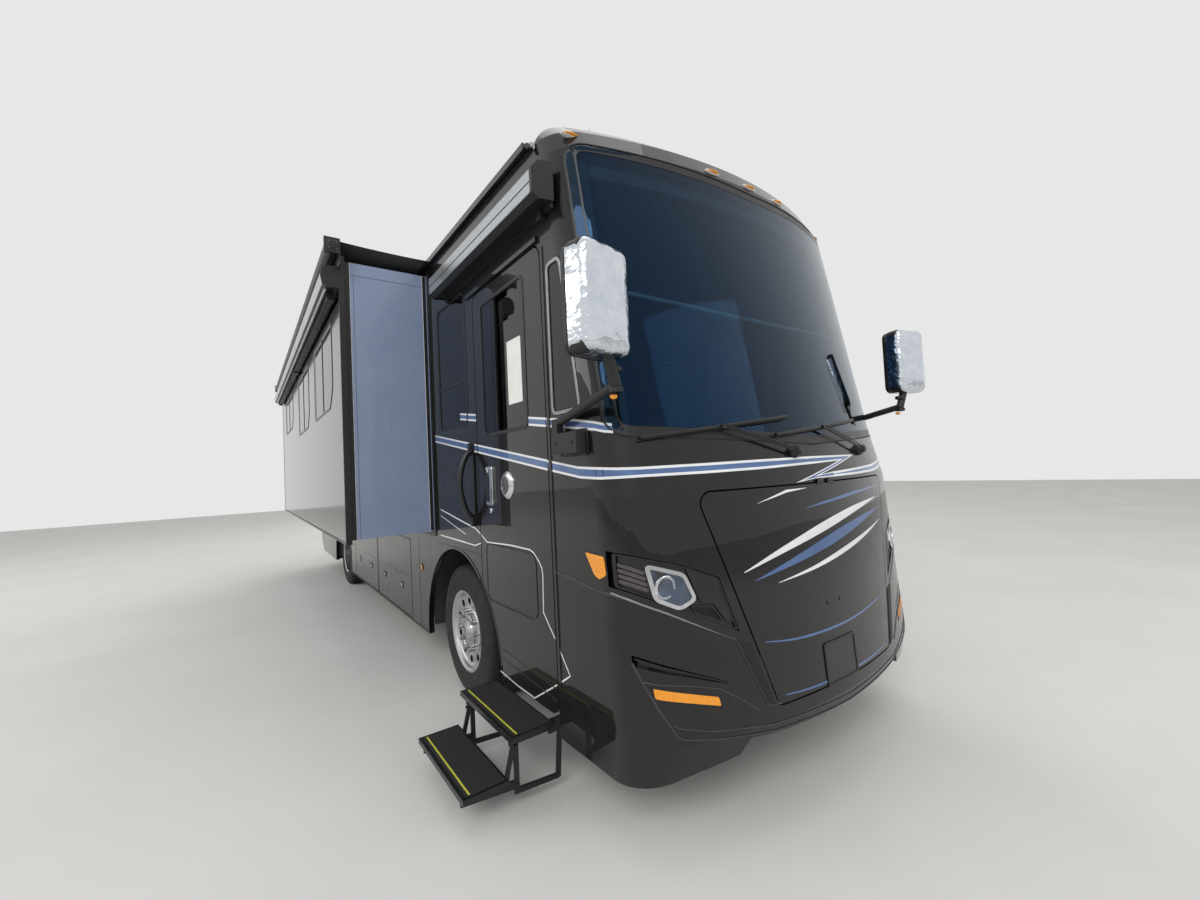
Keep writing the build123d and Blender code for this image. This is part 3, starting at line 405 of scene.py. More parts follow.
def makeMaterial(name, base, second, patch, rough, swing=0.04, metal=0, relief=None, dust=None,
                 divide=None, surface=None):
    # base and second mix in soft patches of the given size in mm; relief is kind, size in mm and depth in mm;
    # dust is colour, height in metres and amount; divide is axis, place in metres, colour and roughness
    material = bpy.data.materials.new(name)
    material.use_nodes = True
    tree = material.node_tree
    shader = tree.nodes["Principled BSDF"].inputs
    where = addNode(tree, "TexCoord", output="Object")
    patches = addNode(tree, "TexNoise",
                      {"Vector": where, "Scale": 1000 / patch, "Detail": 5, "Roughness": 0.6})
    spread = addNode(tree, "MapRange", {"Value": patches, "From Min": 0.36, "From Max": 0.64})
    tint = addNode(tree, "Mix", {0: spread, 6: colour(base), 7: colour(second)}, 2, data_type="RGBA")
    roughness = addNode(tree, "MapRange", {"Value": spread, "To Min": rough - swing, "To Max": rough + swing})
    shader["Metallic"].default_value = metal
    if divide:
        axis, place, far, farRough = divide
        value = addNode(tree, "SeparateXYZ", {0: where}, axis[-1])
        if axis.startswith("abs"):
            value = addNode(tree, "Math", {0: value}, operation="ABSOLUTE")
        beyond = addNode(tree, "Math", {0: value, 1: place}, operation="GREATER_THAN")
        deeper = tuple(c * 0.95 for c in colour(far)[:3]) + (1,)
        farTint = addNode(tree, "Mix", {0: spread, 6: colour(far), 7: deeper}, 2, data_type="RGBA")
        tint = addNode(tree, "Mix", {0: beyond, 6: tint, 7: farTint}, 2, data_type="RGBA")
        roughness = addNode(tree, "Mix", {0: beyond, 2: roughness, 3: farRough})
        if metal:
            metallic = addNode(tree, "MapRange", {"Value": beyond, "To Min": metal, "To Max": 0})
            tree.links.new(metallic, shader["Metallic"])
    if dust:
        dustColour, top, amount = dust
        height = addNode(tree, "SeparateXYZ", {0: where}, "Z")
        low = addNode(tree, "MapRange",
                      {"Value": height, "From Min": top, "From Max": 0.15, "To Max": amount})
        cloud = addNode(tree, "TexNoise", {"Vector": where, "Scale": 9, "Detail": 6})
        factor = addNode(tree, "Math", {0: low, 1: cloud}, operation="MULTIPLY")
        tint = addNode(tree, "Mix", {0: factor, 6: tint, 7: colour(dustColour)}, 2, data_type="RGBA")
        roughness = addNode(tree, "Math", {0: roughness, 1: factor}, operation="ADD")
    tree.links.new(tint, shader["Base Color"])
    tree.links.new(roughness, shader["Roughness"])
    for key, value in (surface or {}).items():
        shader[key].default_value = value
    if relief:
        kind, size, depth = relief
        scale = 1000 / size if kind in ("noise", "cells", "cracks") else 500 / size / pi
        heights = [addNode(tree, node, {**inputs, "Vector": where, "Scale": scale}, output, **settings)
                   for node, inputs, output, settings in reliefKinds[kind]]
        if kind == "weave":
            heights = [addNode(tree, "Math", {0: heights[0], 1: heights[1]}, operation="MAXIMUM")]
        bump = addNode(tree, "Bump", {"Height": heights[0], "Distance": depth / 1000})
        tree.links.new(bump, shader["Normal"])
    finishes[name] = material
    return material


road = ("#8d8578", 0.95, 0.32)
lacquer = {"Coat Weight": 0.8, "Coat Roughness": 0.015, "Specular IOR Level": 0.1}
glassy = {"Transmission Weight": 1, "IOR": 1.5}
cloth = {"Sheen Weight": 0.3}
paint = {"base": "#0f0e0f", "second": "#151314", "patch": 90, "rough": 0.36, "metal": 0.1,
         "relief": ("noise", 1.4, 0.006), "dust": ("#6f6a62", 0.8, 0.1), "surface": lacquer}
# near-black metallic lacquer with a little road dust low down, so that the sides stay deep and glossy
makeMaterial("charcoalPaint", **paint)
makeMaterial("wallPaint", **paint)
# blue-grey gloss of the slide-out's end walls: painted shade and a painted reflection of blue sky on white
# gloss, and near black on the outer face
makeMaterial("slideSkin", "#8d9cb8", "#8796b3", 350, 0.24, 0.05,
             divide=("absX", 1.8645, "#0c0c0e", 0.12),
             surface={"Coat Weight": 0.35, "Coat Roughness": 0.03, "Specular IOR Level": 0.25})
makeMaterial("roofSkin", "#151415", "#1b1a1a", 90, 0.34, relief=("noise", 1.4, 0.006),
             divide=("Z", 3.532, "#c9c8c2", 0.55), metal=0.3, surface=lacquer)
makeMaterial("stripeWhite", "#e6e7e8", "#dcdee0", 160, 0.22, surface=lacquer)
makeMaterial("stripeBlue", "#56719f", "#4c6693", 160, 0.28, metal=0.25, surface=lacquer)
# laminated windshield, tinted blue with a blue specular tint as a painted reflection of blue sky; dark
# privacy glass and clear lamp glass
makeMaterial("glassTint", "#6d8ca0", "#68879b", 500, 0.02, 0,
             surface={**glassy, "Specular IOR Level": 1, "Specular Tint": colour("#6fa3e0")})
makeMaterial("glassShade", "#15191b", "#121618", 500, 0.02, 0, surface=glassy)
makeMaterial("glassClear", "#f2f5f6", "#eef1f3", 500, 0.03, 0, surface=glassy)
makeMaterial("chrome", "#d9dadb", "#cfd0d2", 120, 0.07, 0.03, 1, dust=road)
# chrome seen through clinging clear film: the wrinkles break the reflection
makeMaterial("wrapFilm", "#dfe4ea", "#cfd6de", 60, 0.13, 0.06, 1, ("noise", 75, 12))
# folded edges of the paint in a lighter grey, a painted highlight where the lacquer catches the light
makeMaterial("paintEdge", "#4b4c50", "#434448", 90, 0.24, 0.04, 0.6)
makeMaterial("platePlace", "#2b2a2c", "#313033", 90, 0.42)
makeMaterial("darkPane", "#0a0b0c", "#0d0e10", 300, 0.06, 0.01, surface={"Coat Weight": 0.6})
makeMaterial("lampBlue", "#5d7396", "#3a4658", 55, 0.16, 0.05, 0.9)
makeMaterial("polishedAlloy", "#c7c8ca", "#babbbe", 60, 0.16, 0.05, 1, ("noise", 5, 0.02),
             ("#7d766b", 0.9, 0.3))
makeMaterial("brushedSteel", "#9d9fa2", "#8d8f92", 30, 0.32, 0.08, 1, ("linesZ", 1.2, 0.01))
makeMaterial("tyreRubber", "#161515", "#1f1d1c", 70, 0.78, 0.08, relief=("noise", 2.2, 0.25),
             dust=("#6a625a", 0.5, 0.22))
makeMaterial("sealRubber", "#0e0e0f", "#171718", 25, 0.62, 0.06, relief=("noise", 1.5, 0.08))
makeMaterial("mouldedBlack", "#151516", "#1c1c1d", 45, 0.5, 0.07, relief=("cells", 1.3, 0.12), dust=road)
makeMaterial("satinBlack", "#111112", "#19191a", 60, 0.34, 0.06, relief=("noise", 1, 0.03))
makeMaterial("frameBlack", "#1a1817", "#2c2622", 55, 0.6, 0.1, 0.1, ("noise", 3, 0.2), ("#6f6457", 1.2, 0.6))
makeMaterial("zincSteel", "#8c8f90", "#777a7b", 22, 0.42, 0.1, 0.9, ("cells", 9, 0.05), ("#6f6457", 0.9, 0.5))
makeMaterial("castIron", "#3a3431", "#56463b", 18, 0.72, 0.1, 0.5, ("noise", 2.5, 0.3))
# anodised awning cases: bright outside, near black inside
makeMaterial("anodised", "#b7babd", "#adb0b4", 300, 0.3, 0.04, 0.85, ("linesY", 0.8, 0.004))
makeMaterial("caseBlack", "#161514", "#201d1b", 80, 0.42, 0.06, relief=("noise", 1.6, 0.05))
# coated cloth of two crossed threads
makeMaterial("awningCloth", "#141415", "#1c1c1e", 400, 0.72, relief=("weave", 0.9, 0.25), surface=cloth)
makeMaterial("blindCloth", "#191c20", "#1e2125", 400, 0.85, relief=("weave", 1.6, 0.04), surface=cloth)
makeMaterial("leather", "#5a4d42", "#4d4138", 35, 0.46, 0.08, relief=("cracks", 4.5, 0.35),
             surface={"Coat Weight": 0.15})
makeMaterial("vinylDark", "#2a2725", "#332f2c", 50, 0.6, 0.08, relief=("cells", 2.2, 0.2))
makeMaterial("liner", "#8f8a80", "#847f76", 90, 0.8, 0.05, relief=("noise", 3, 0.3))
makeMaterial("deckPly", "#6f5f4c", "#5d4f40", 60, 0.7, 0.1, relief=("noise", 6, 0.3),
             dust=("#5b5247", 1.25, 0.5))
makeMaterial("cherryWood", "#5b3422", "#44261a", 55, 0.3, 0.06, relief=("noise", 4, 0.05),
             surface={"Coat Weight": 0.4})
makeMaterial("amberLens", "#ffa91c", "#fb9a12", 14, 0.12, 0.03,
             surface={"Transmission Weight": 0.12, "IOR": 1.49, "Coat Weight": 0.6})
makeMaterial("redLens", "#b3161a", "#9e1216", 14, 0.12, 0.03,
             surface={"Transmission Weight": 0.3, "IOR": 1.49, "Coat Weight": 0.6})
makeMaterial("lampSilver", "#d4d6d8", "#c3c6c9", 30, 0.14, 0.05, 1)
makeMaterial("lampGrey", "#5a5354", "#4d4748", 20, 0.3, 0.05, 0.3)
makeMaterial("whitePlastic", "#d8d7d2", "#cbcac4", 120, 0.5, 0.06, relief=("cells", 1.6, 0.1))
makeMaterial("gritTread", "#171717", "#242323", 3, 0.86, 0.06, relief=("cells", 2, 0.8))
makeMaterial("safetyYellow", "#cfd02a", "#c2c122", 40, 0.6, 0.08, relief=("noise", 2, 0.1), dust=road)
makeMaterial("paperWhite", "#e9e9e4", "#e1e1dc", 80, 0.7)
makeMaterial("gutterGrip", "#c9cac8", "#b9bab8", 40, 0.45, surface={"Transmission Weight": 0.3})
print("materials made", len(finishes))

# The finish of every CAD piece that stays as it is
nodeFinishes = {
    "charcoalPaint": "front_cap rear_cap front_hatch engine_door",
    "wallPaint": "wall_left wall_right skirts entry_door bay_door_left_1 bay_door_left_2 bay_door_right_1 "
                 "bay_door_right_2",
    "roofSkin": "roof_panel",
    "glassTint": "windshield",
    "glassShade": "entry_door_glass side_glass slide_glass_left slide_glass_right",
    "slideSkin": "slide_left slide_right",
    "caseBlack": "slide_awning_left slide_awning_right door_awning",
    "zincSteel": "slide_rollers storage_bays jack_feet",
    "frameBlack": "chassis_frame frame_rails hitch_receiver springs",
    "mouldedBlack": "stairwell grab_handle tanks mirrors",
    "castIron": "axles knuckle_left knuckle_right power_units",
    "deckPly": "floor_deck",
    "vinylDark": "dash steering_wheel",
    "cherryWood": "cabinets",
    "satinBlack": "wipers entry_step",
    "polishedAlloy": "front_rim_left front_rim_right rear_rims_left rear_rims_right",
}
for finish, nodes in nodeFinishes.items():
    for node in nodes.split():
        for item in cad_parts[node].material_slots:
            item.material = finishes[finish]
print("CAD pieces finished", len(nodeFinishes))


# Stripes: thin films that follow the panels, split where the panels part

def mirrored(outline, side):
    return [(side * x, z) for x, z in outline]


film = (0.0002, 0.0011)   # lift of a film's two faces over the panel
stripes = {
    "bandRise": 0.1525,       # rise of the lower band per metre of length
    "bandLow": 1.653,         # its lower edge at station 0.75
    "bandHeight": 0.058,
    "edge": 0.012,            # white edge above and below the blue
    "upperLow": 1.886,
    "upperRise": 0.137,
    "upperHeight": 0.05,
    "upperEnd": 2.14,
    "pinWidth": 0.008,
}
# The band's fold on the nose: rows are distance across, lower and upper edge
noseFold = {
    "curb": [(-1.222, 1.623, 1.68), (-1.18, 1.624, 1.674), (-1.1, 1.626, 1.672), (-0.8, 1.627, 1.675),
             (-0.45, 1.632, 1.68), (-0.08, 1.643, 1.684)],
    "under": [(0.225, 1.653), (-0.245, 1.552), (-0.07, 1.566)],
    "over": [(0.46, 1.684), (-0.02, 1.582), (0.05, 1.588)],
    "street": [(0.12, 1.566, 1.594), (0.4, 1.567, 1.604), (0.75, 1.573, 1.617), (0.95, 1.587, 1.635),
               (1.1, 1.606, 1.657), (1.18, 1.618, 1.672), (1.222, 1.623, 1.68)],
}


def bandLow(station):
    return stripes["bandLow"] + (station - 0.75) * stripes["bandRise"]


def addBand(edges, place):
    # edges are (a, low, high); the band is blue with a white line on both edges
    edge = stripes["edge"]
    for index, low, high, lift in ((1, 0, 1, 0), (0, 0, None, 0.0003), (0, None, 1, 0.0003)):
        near, far = [], []
        for a, b0, b1 in edges:
            start = b0 if low is not None else b1 - edge
            end = b1 if high is not None else b0 + edge
            near.append((a, start))
            far.append((a, end))
        addRibbon(near, far, place, film[0], film[1] + lift, index, step=0.05)


def sideBand(station0, station1):
    height = stripes["bandHeight"]
    return [(s, bandLow(s), bandLow(s) + height) for s in (station0, (station0 + station1) / 2, station1)]


def upperBand(station0, station1):
    rows = []
    for s in (station0, station1):
        low = stripes["upperLow"] + (s - 0.75) * stripes["upperRise"]
        rows.append((s, low, low + stripes["upperHeight"]))
    return rows


def addStripes():
    films = "stripeWhite stripeBlue"
    curbRows = [(uFromX(x), low, high) for x, low, high in noseFold["curb"]]
    streetRows = [(uFromX(x), low, high) for x, low, high in noseFold["street"]]
    ends = []
    for side in (-1, 1):
        rows = []
        for s in (0.6, coach["frontSeam"] - 0.002):
            rows.append((uFromStation(side, s, 1.68), bandLow(s), bandLow(s) + stripes["bandHeight"]))
        ends.append(rows if side > 0 else rows[::-1])
    addBand(ends[0] + curbRows, onHull)
    addBand(streetRows + ends[1], onHull)
    # between them the band folds over itself: to a point, back down to the hatch, and on to the street side
    first, last = noseFold["curb"][-1], noseFold["street"][0]
    below = [Vector(point) for point in (first[:2], *noseFold["under"], last[:2])]
    above = [Vector(point) for point in (first[::2], *noseFold["over"], last[::2])]
    for start, end, index in ((0, 0.27, 0), (0.27, 0.73, 1), (0.73, 1, 0)):
        near = [a.lerp(b, start) for a, b in zip(below, above)]
        far = [a.lerp(b, end) for a, b in zip(below, above)]
        addRibbon(near, far, onNose, *film, index, step=0.04, across=3)
    for side in (-1, 1):
        start = ((1.17, 1.83), (1.196, 1.836), (1.215, 1.848))
        onward = upperBand(0.6, coach["frontSeam"] - 0.002)
        rows = [(uFromX(side * x), low, low + 0.046) for x, low in start]
        rows += [(uFromStation(side, s, 1.9), b0, b1) for s, b0, b1 in onward]
        addBand(rows, onHull)
        # pointed line on the front cap below the lower band, running back to the wheel arch
        chin = [(0.88, 0.783), (0.763, 0.649), (0.88, 0.574)]
        line = [(uFromStation(side, s, z), z) for s, z in chin]
        addLine(line, stripes["pinWidth"], onHull, *film)
    finishPiece("nose_stripes", "coach", films)

    for side, name in sides:
        place = onSide(side)
        runs = [(1.843, 2.735)] if side < 0 else [(0.887, 3.16)]
        last = 9.462 if side < 0 else 7.13
        for s0, s1 in runs + [(last, coach["rearSeam"] - 0.002)]:
            addBand(sideBand(s0, s1), place)
        addBand(upperBand(1.843 if side < 0 else 0.887, stripes["upperEnd"]), place)
        if side > 0:
            # the white line carries on over the wall where the other side has its door
            line = [(0.888, 0.568), (1.153, 0.409), (1.37, 0.409), (1.6, 0.424)]
            addLine(line, stripes["pinWidth"], place, *film)
        finishPiece("wall_stripes_" + name, "coach", films)
        # thin lines on the walls under the belt
        for width, line in ((0.01, [(2.12, 1.325), (2.66, 1.402)]), (0.006, [(2.12, 1.244), (2.66, 1.352)]),
                            (0.01, [(2.12, 1.184), (2.68, 1.193)]),
                            (0.01, [(1.845, 1.269), (1.93, 1.3), (2.12, 1.325)]),
                            (0.008, [(1.845, 1.205), (1.95, 1.18), (2.12, 1.184)])):
            addLine(line, width, place, *film)
        finishPiece("wall_pinlines_" + name, "coach", films)

    place = onSide(-1)
    addBand(sideBand(0.895, 1.831), place)
    addBand(upperBand(0.895, 1.085), place)
    panel = [(1.829, 1.262), (1.732, 1.223), (1.392, 1.237), (1.136, 1.236), (1.09, 1.222), (1.036, 1.183),
             (1.006, 1.15), (0.998, 1.114), (1.008, 0.912), (0.897, 0.8)]
    chevron = [(0.897, 0.563), (1.153, 0.409), (1.37, 0.409), (1.6, 0.424)]
    for line in (panel, chevron):
        addLine(line, stripes["pinWidth"], place, *film)
    finishPiece("door_stripes", "door", films)


# Broad plain curves on the hatch, of the builder's own layout: rows are distance across, height, width
hatchCurves = [
    (0, [(-0.66, 1.16, 0.004), (-0.4, 1.235, 0.03), (-0.05, 1.315, 0.048), (0.3, 1.375, 0.036),
         (0.68, 1.415, 0.003)]),
    (1, [(-0.6, 1.115, 0.003), (-0.32, 1.175, 0.034), (0.02, 1.245, 0.056), (0.36, 1.305, 0.04),
         (0.72, 1.35, 0.003)]),
    (0, [(-0.46, 1.085, 0.002), (-0.18, 1.12, 0.018), (0.12, 1.17, 0.028), (0.42, 1.222, 0.02),
         (0.7, 1.272, 0.002)]),
    (1, [(-0.2, 1.42, 0.002), (0.04, 1.442, 0.014), (0.3, 1.462, 0.018), (0.54, 1.474, 0.01),
         (0.77, 1.482, 0.002)]),
    (1, [(-0.588, 0.834, 0.004), (-0.362, 0.808, 0.01), (-0.026, 0.804, 0.012), (0.26, 0.82, 0.01),
         (0.56, 0.85, 0.004)]),
    (1, [(-0.5, 0.578, 0.005), (-0.3, 0.566, 0.01), (0, 0.562, 0.012), (0.3, 0.566, 0.01),
         (0.5, 0.578, 0.005)]),
]


def smoothRows(rows, steps=8):
    # an even curve through a few rows of numbers
    result = []
    for i in range(len(rows) - 1):
        p0, p1, p2, p3 = rows[max(i - 1, 0)], rows[i], rows[i + 1], rows[min(i + 2, len(rows) - 1)]
        for k in range(steps):
            t = k / steps
            result.append(tuple(0.5 * (2 * b + (c - a) * t + (2 * a - 5 * b + 4 * c - d) * t * t
                                       + (3 * b - a - 3 * c + d) * t ** 3)
                                for a, b, c, d in zip(p0, p1, p2, p3)))
    result.append(tuple(rows[-1]))
    return result


def addHatchDress():
    for index, rows in hatchCurves:
        line = smoothRows(rows)
        near = [(x, z - width / 2) for x, z, width in line]
        far = [(x, z + width / 2) for x, z, width in line]
        addRibbon(near, far, onNose, *film, index, step=0.06)
    # the sharp tail of the nose band, where it crosses on to the hatch
    addRibbon([(-0.535, 1.4685), (-0.33, 1.508), (-0.17, 1.521)],
              [(-0.535, 1.4695), (-0.33, 1.522), (-0.17, 1.5225)], onNose, *film, step=0.06)
    finishPiece("hatch_curves", "hatch", "stripeWhite stripeBlue")

    # blank plate place: a shallow frame with a plain inset
    outline = rounded(-0.2, 0.09, 0.535, 0.745, 0.018)
    addPatch(grown(outline, -0.012), onNose, 0.0003, 0.0022, 1)
    addLoop(outline, onNose, -0.014, 0, 0.0003, 0.006)
    finishPiece("hatch_plate_frame", "hatch", "satinBlack platePlace", bevel=0.0012)

    # the hatch's rubber edge, a folded handle cup and two small stops
    corners = [(-0.532, 0.553), (0.532, 0.553), (0.86, 1.532), (-0.86, 1.532)]
    addLoop(softened(corners, 0.05), onNose, -0.003, 0.003, -0.012, -0.0085)
    for x in (-0.115, -0.002):
        addDisc(onNose(x, 0.93, 0), (0, -1, 0.07),
                [(-0.004, 0.009), (0.0015, 0.009), (0.003, 0.006), (0.0034, 0.001)], 16)
    finishPiece("hatch_edge", "hatch", "sealRubber")


def addSeams():
    # raised lines of the chin, like the folded lines pressed in the cap, in a lighter grey that is a painted
    # highlight
    outer = [(1.196, 0.835), (1.175, 0.76), (1.128, 0.638), (1.07, 0.53), (1.04, 0.512), (0.905, 0.484),
             (0.571, 0.436), (0, 0.414)]
    inner = [(1.084, 0.582), (1.06, 0.562), (0.916, 0.52), (0.602, 0.472), (0, 0.45)]
    for row in (outer, inner):
        line = row + [(-x, z) for x, z in reversed(row[:-1])]
        addLine(line, 0.007, onNose, -0.002, 0.0035, step=0.05)
    for side in (-1, 1):
        line = [(1.175, 0.76), (1.146, 0.752), (0.99, 0.722), (0.856, 0.684), (0.76, 0.622), (0.662, 0.55)]
        addLine(mirrored(line, side), 0.006, onNose, -0.002, 0.003, step=0.05)
        # shoulder that runs from the lamps' lower corner round to the front wheel, lighter grey as a painted
        # highlight
        rows = [(uFromX(side * 1.19), 1.102), (uFromX(side * 1.222), 1.112)]
        rows += [(uFromStation(side, s, 1.12), z) for s, z in ((0.55, 1.122), (0.7, 1.142), (0.88, 1.15))]
        addLine(rows, 0.012, onHull, -0.002, 0.003)
    finishPiece("nose_lines", "coach", "paintEdge", bevel=0.0018, segments=3)


addStripes()
addHatchDress()
addSeams()
print("stripes and hatch")


# Windshield: dark band, seal, blind and wipers

windshield = {
    "outline": [(-1.196, 1.815), (0, 1.748), (1.196, 1.815), (1.185, 3.345), (0, 3.29), (-1.185, 3.345)],
    "corner": 0.1,
    "band": 0.05,
    "seal": 0.005,
    "glassDepth": 0.003,
    "blindBottom": (2.565, 2.475),   # at the sides, in the middle
    "blindDepth": 0.085,
}


def addWindshield():
    outline = softened(windshield["outline"], windshield["corner"])
    depth = windshield["glassDepth"]
    addLoop(outline, onNose, -windshield["band"], -0.004, -depth + 0.0002, -depth + 0.001, step=0.04)
    finishPiece("windshield_band", "coach", "satinBlack")
    addLoop(outline, onNose, -windshield["seal"], 0.002, -0.006, 0.0016, step=0.04)
    finishPiece("windshield_seal", "coach", "sealRubber", bevel=0.0015)
    # pale inner pillars and header behind the glass
    for side in (-1, 1):
        addRibbon([(side * 1.095, 1.86), (side * 1.085, 3.26)], [(side * 1.145, 1.86), (side * 1.135, 3.27)],
                  onNose, -0.075, -0.052, step=0.08)
    addRibbon([(-1.08, 3.17), (0, 3.13), (1.08, 3.17)], [(-1.08, 3.25), (0, 3.2), (1.08, 3.25)],
              onNose, -0.08, -0.055, step=0.08)
    finishPiece("cab_pillars", "coach", "liner", bevel=0.004)


def addBlind():
    # a drawn cab blind: pleated cloth above, a pale bar at its lower edge
    side, middle = windshield["blindBottom"]
    depth = windshield["blindDepth"]
    columns = 160
    reach = 1.06
    grid = []
    for k in range(15):
        t = k / 14
        row = []
        for i in range(columns + 1):
            x = -reach + 2 * reach * i / columns
            low = middle + (side - middle) * (x / reach) ** 2
            top = 3.16
            z = low + (top - low) * t
            fold = 0.003 * sin(i * pi / 2)
            row.append(onNose(x, z, -depth - 0.014 + fold))
        grid.append(row)
    verts = [[shape.verts.new(point) for point in row] for row in grid]
    for low, high in zip(verts, verts[1:]):
        for i in range(columns):
            shape.faces.new((low[i], low[i + 1], high[i + 1], high[i]))
    area = sum(face.calc_area() for face in shape.faces)
    piece = finishPiece("cab_blind", "coach", "blindCloth", angle=180)
    line = [(x, middle + (side - middle) * (x / reach) ** 2)
            for x in (-1.06, -0.8, -0.5, -0.2, 0, 0.2, 0.5, 0.8, 1.06)]
    addLine(line, 0.022, onNose, -depth - 0.02, -depth)
    finishPiece("blind_bar", "coach", "whitePlastic", bevel=0.003)


def addWipers():
    for x in (-0.2, 0.56):
        base = onNose(x, 1.71, 0)
        addDisc(base, (0, -1, 0.3),
                [(0, 0.034), (0.016, 0.033), (0.03, 0.024), (0.046, 0.02), (0.05, 0.012)], 24)
        # second rod of the wiper arm, the spray line along it and the blade's rubber
        line = [onNose(x - 0.09 * i, 1.722 + 0.026 * i, 0.046) for i in range(6)]
        addTube(line, 0.0035, 8)
        rubber = [onNose(x - 0.45 + 0.11 * i, 1.838 + 0.012 * i, 0.012) for i in range(-4, 5)]
        addTube(rubber, 0.0045, 6, 1)
        for i in (-3, -1, 1, 3):
            low = onNose(x - 0.45 + 0.11 * i, 1.838 + 0.012 * i, 0.014)
            high = onNose(x - 0.45 + 0.11 * i, 1.85 + 0.012 * i, 0.026)
            addTube([low, high], 0.005, 8)
        clip = onNose(x - 0.45, 1.846, 0.034)
        addBox(clip - Vector((0.026, 0.01, 0.01)), clip + Vector((0.026, 0.01, 0.01)))
    finishPiece("wiper_fittings", "coach", "satinBlack sealRubber", bevel=0.001)


addWindshield()
addBlind()
addWipers()
print("windshield")


# Lamps: each replaces its CAD block with a housing, a reflector and a lens

headlamp = {
    "cluster": [(1.218, 1.298), (1.125, 1.272), (0.978, 1.228), (0.804, 1.155), (0.793, 1.116),
                (0.729, 0.912), (0.991, 1.041), (1.111, 1.099), (1.218, 1.15)],
    "lens": [(1.13, 1.245), (0.97, 1.192), (0.925, 1.078), (1.003, 1.045), (1.106, 1.096)],
    # station, height
    "marker": [(0.575, 1.284), (0.432, 1.278), (0.42, 1.196), (0.468, 1.172), (0.505, 1.186)],
    "beam": (1.057, 1.142),
    "beamRadius": 0.047,
    "vent": [(0.95, 1.05), (0.85, 1.036), (0.796, 0.962), (0.925, 1.012)],
    "wing": [(0.958, 1.212), (0.812, 1.154), (0.8, 1.116), (0.748, 0.95), (0.786, 0.962), (0.842, 1.05),
             (0.9, 1.06), (0.912, 1.082)],
    "floor": -0.012,
}


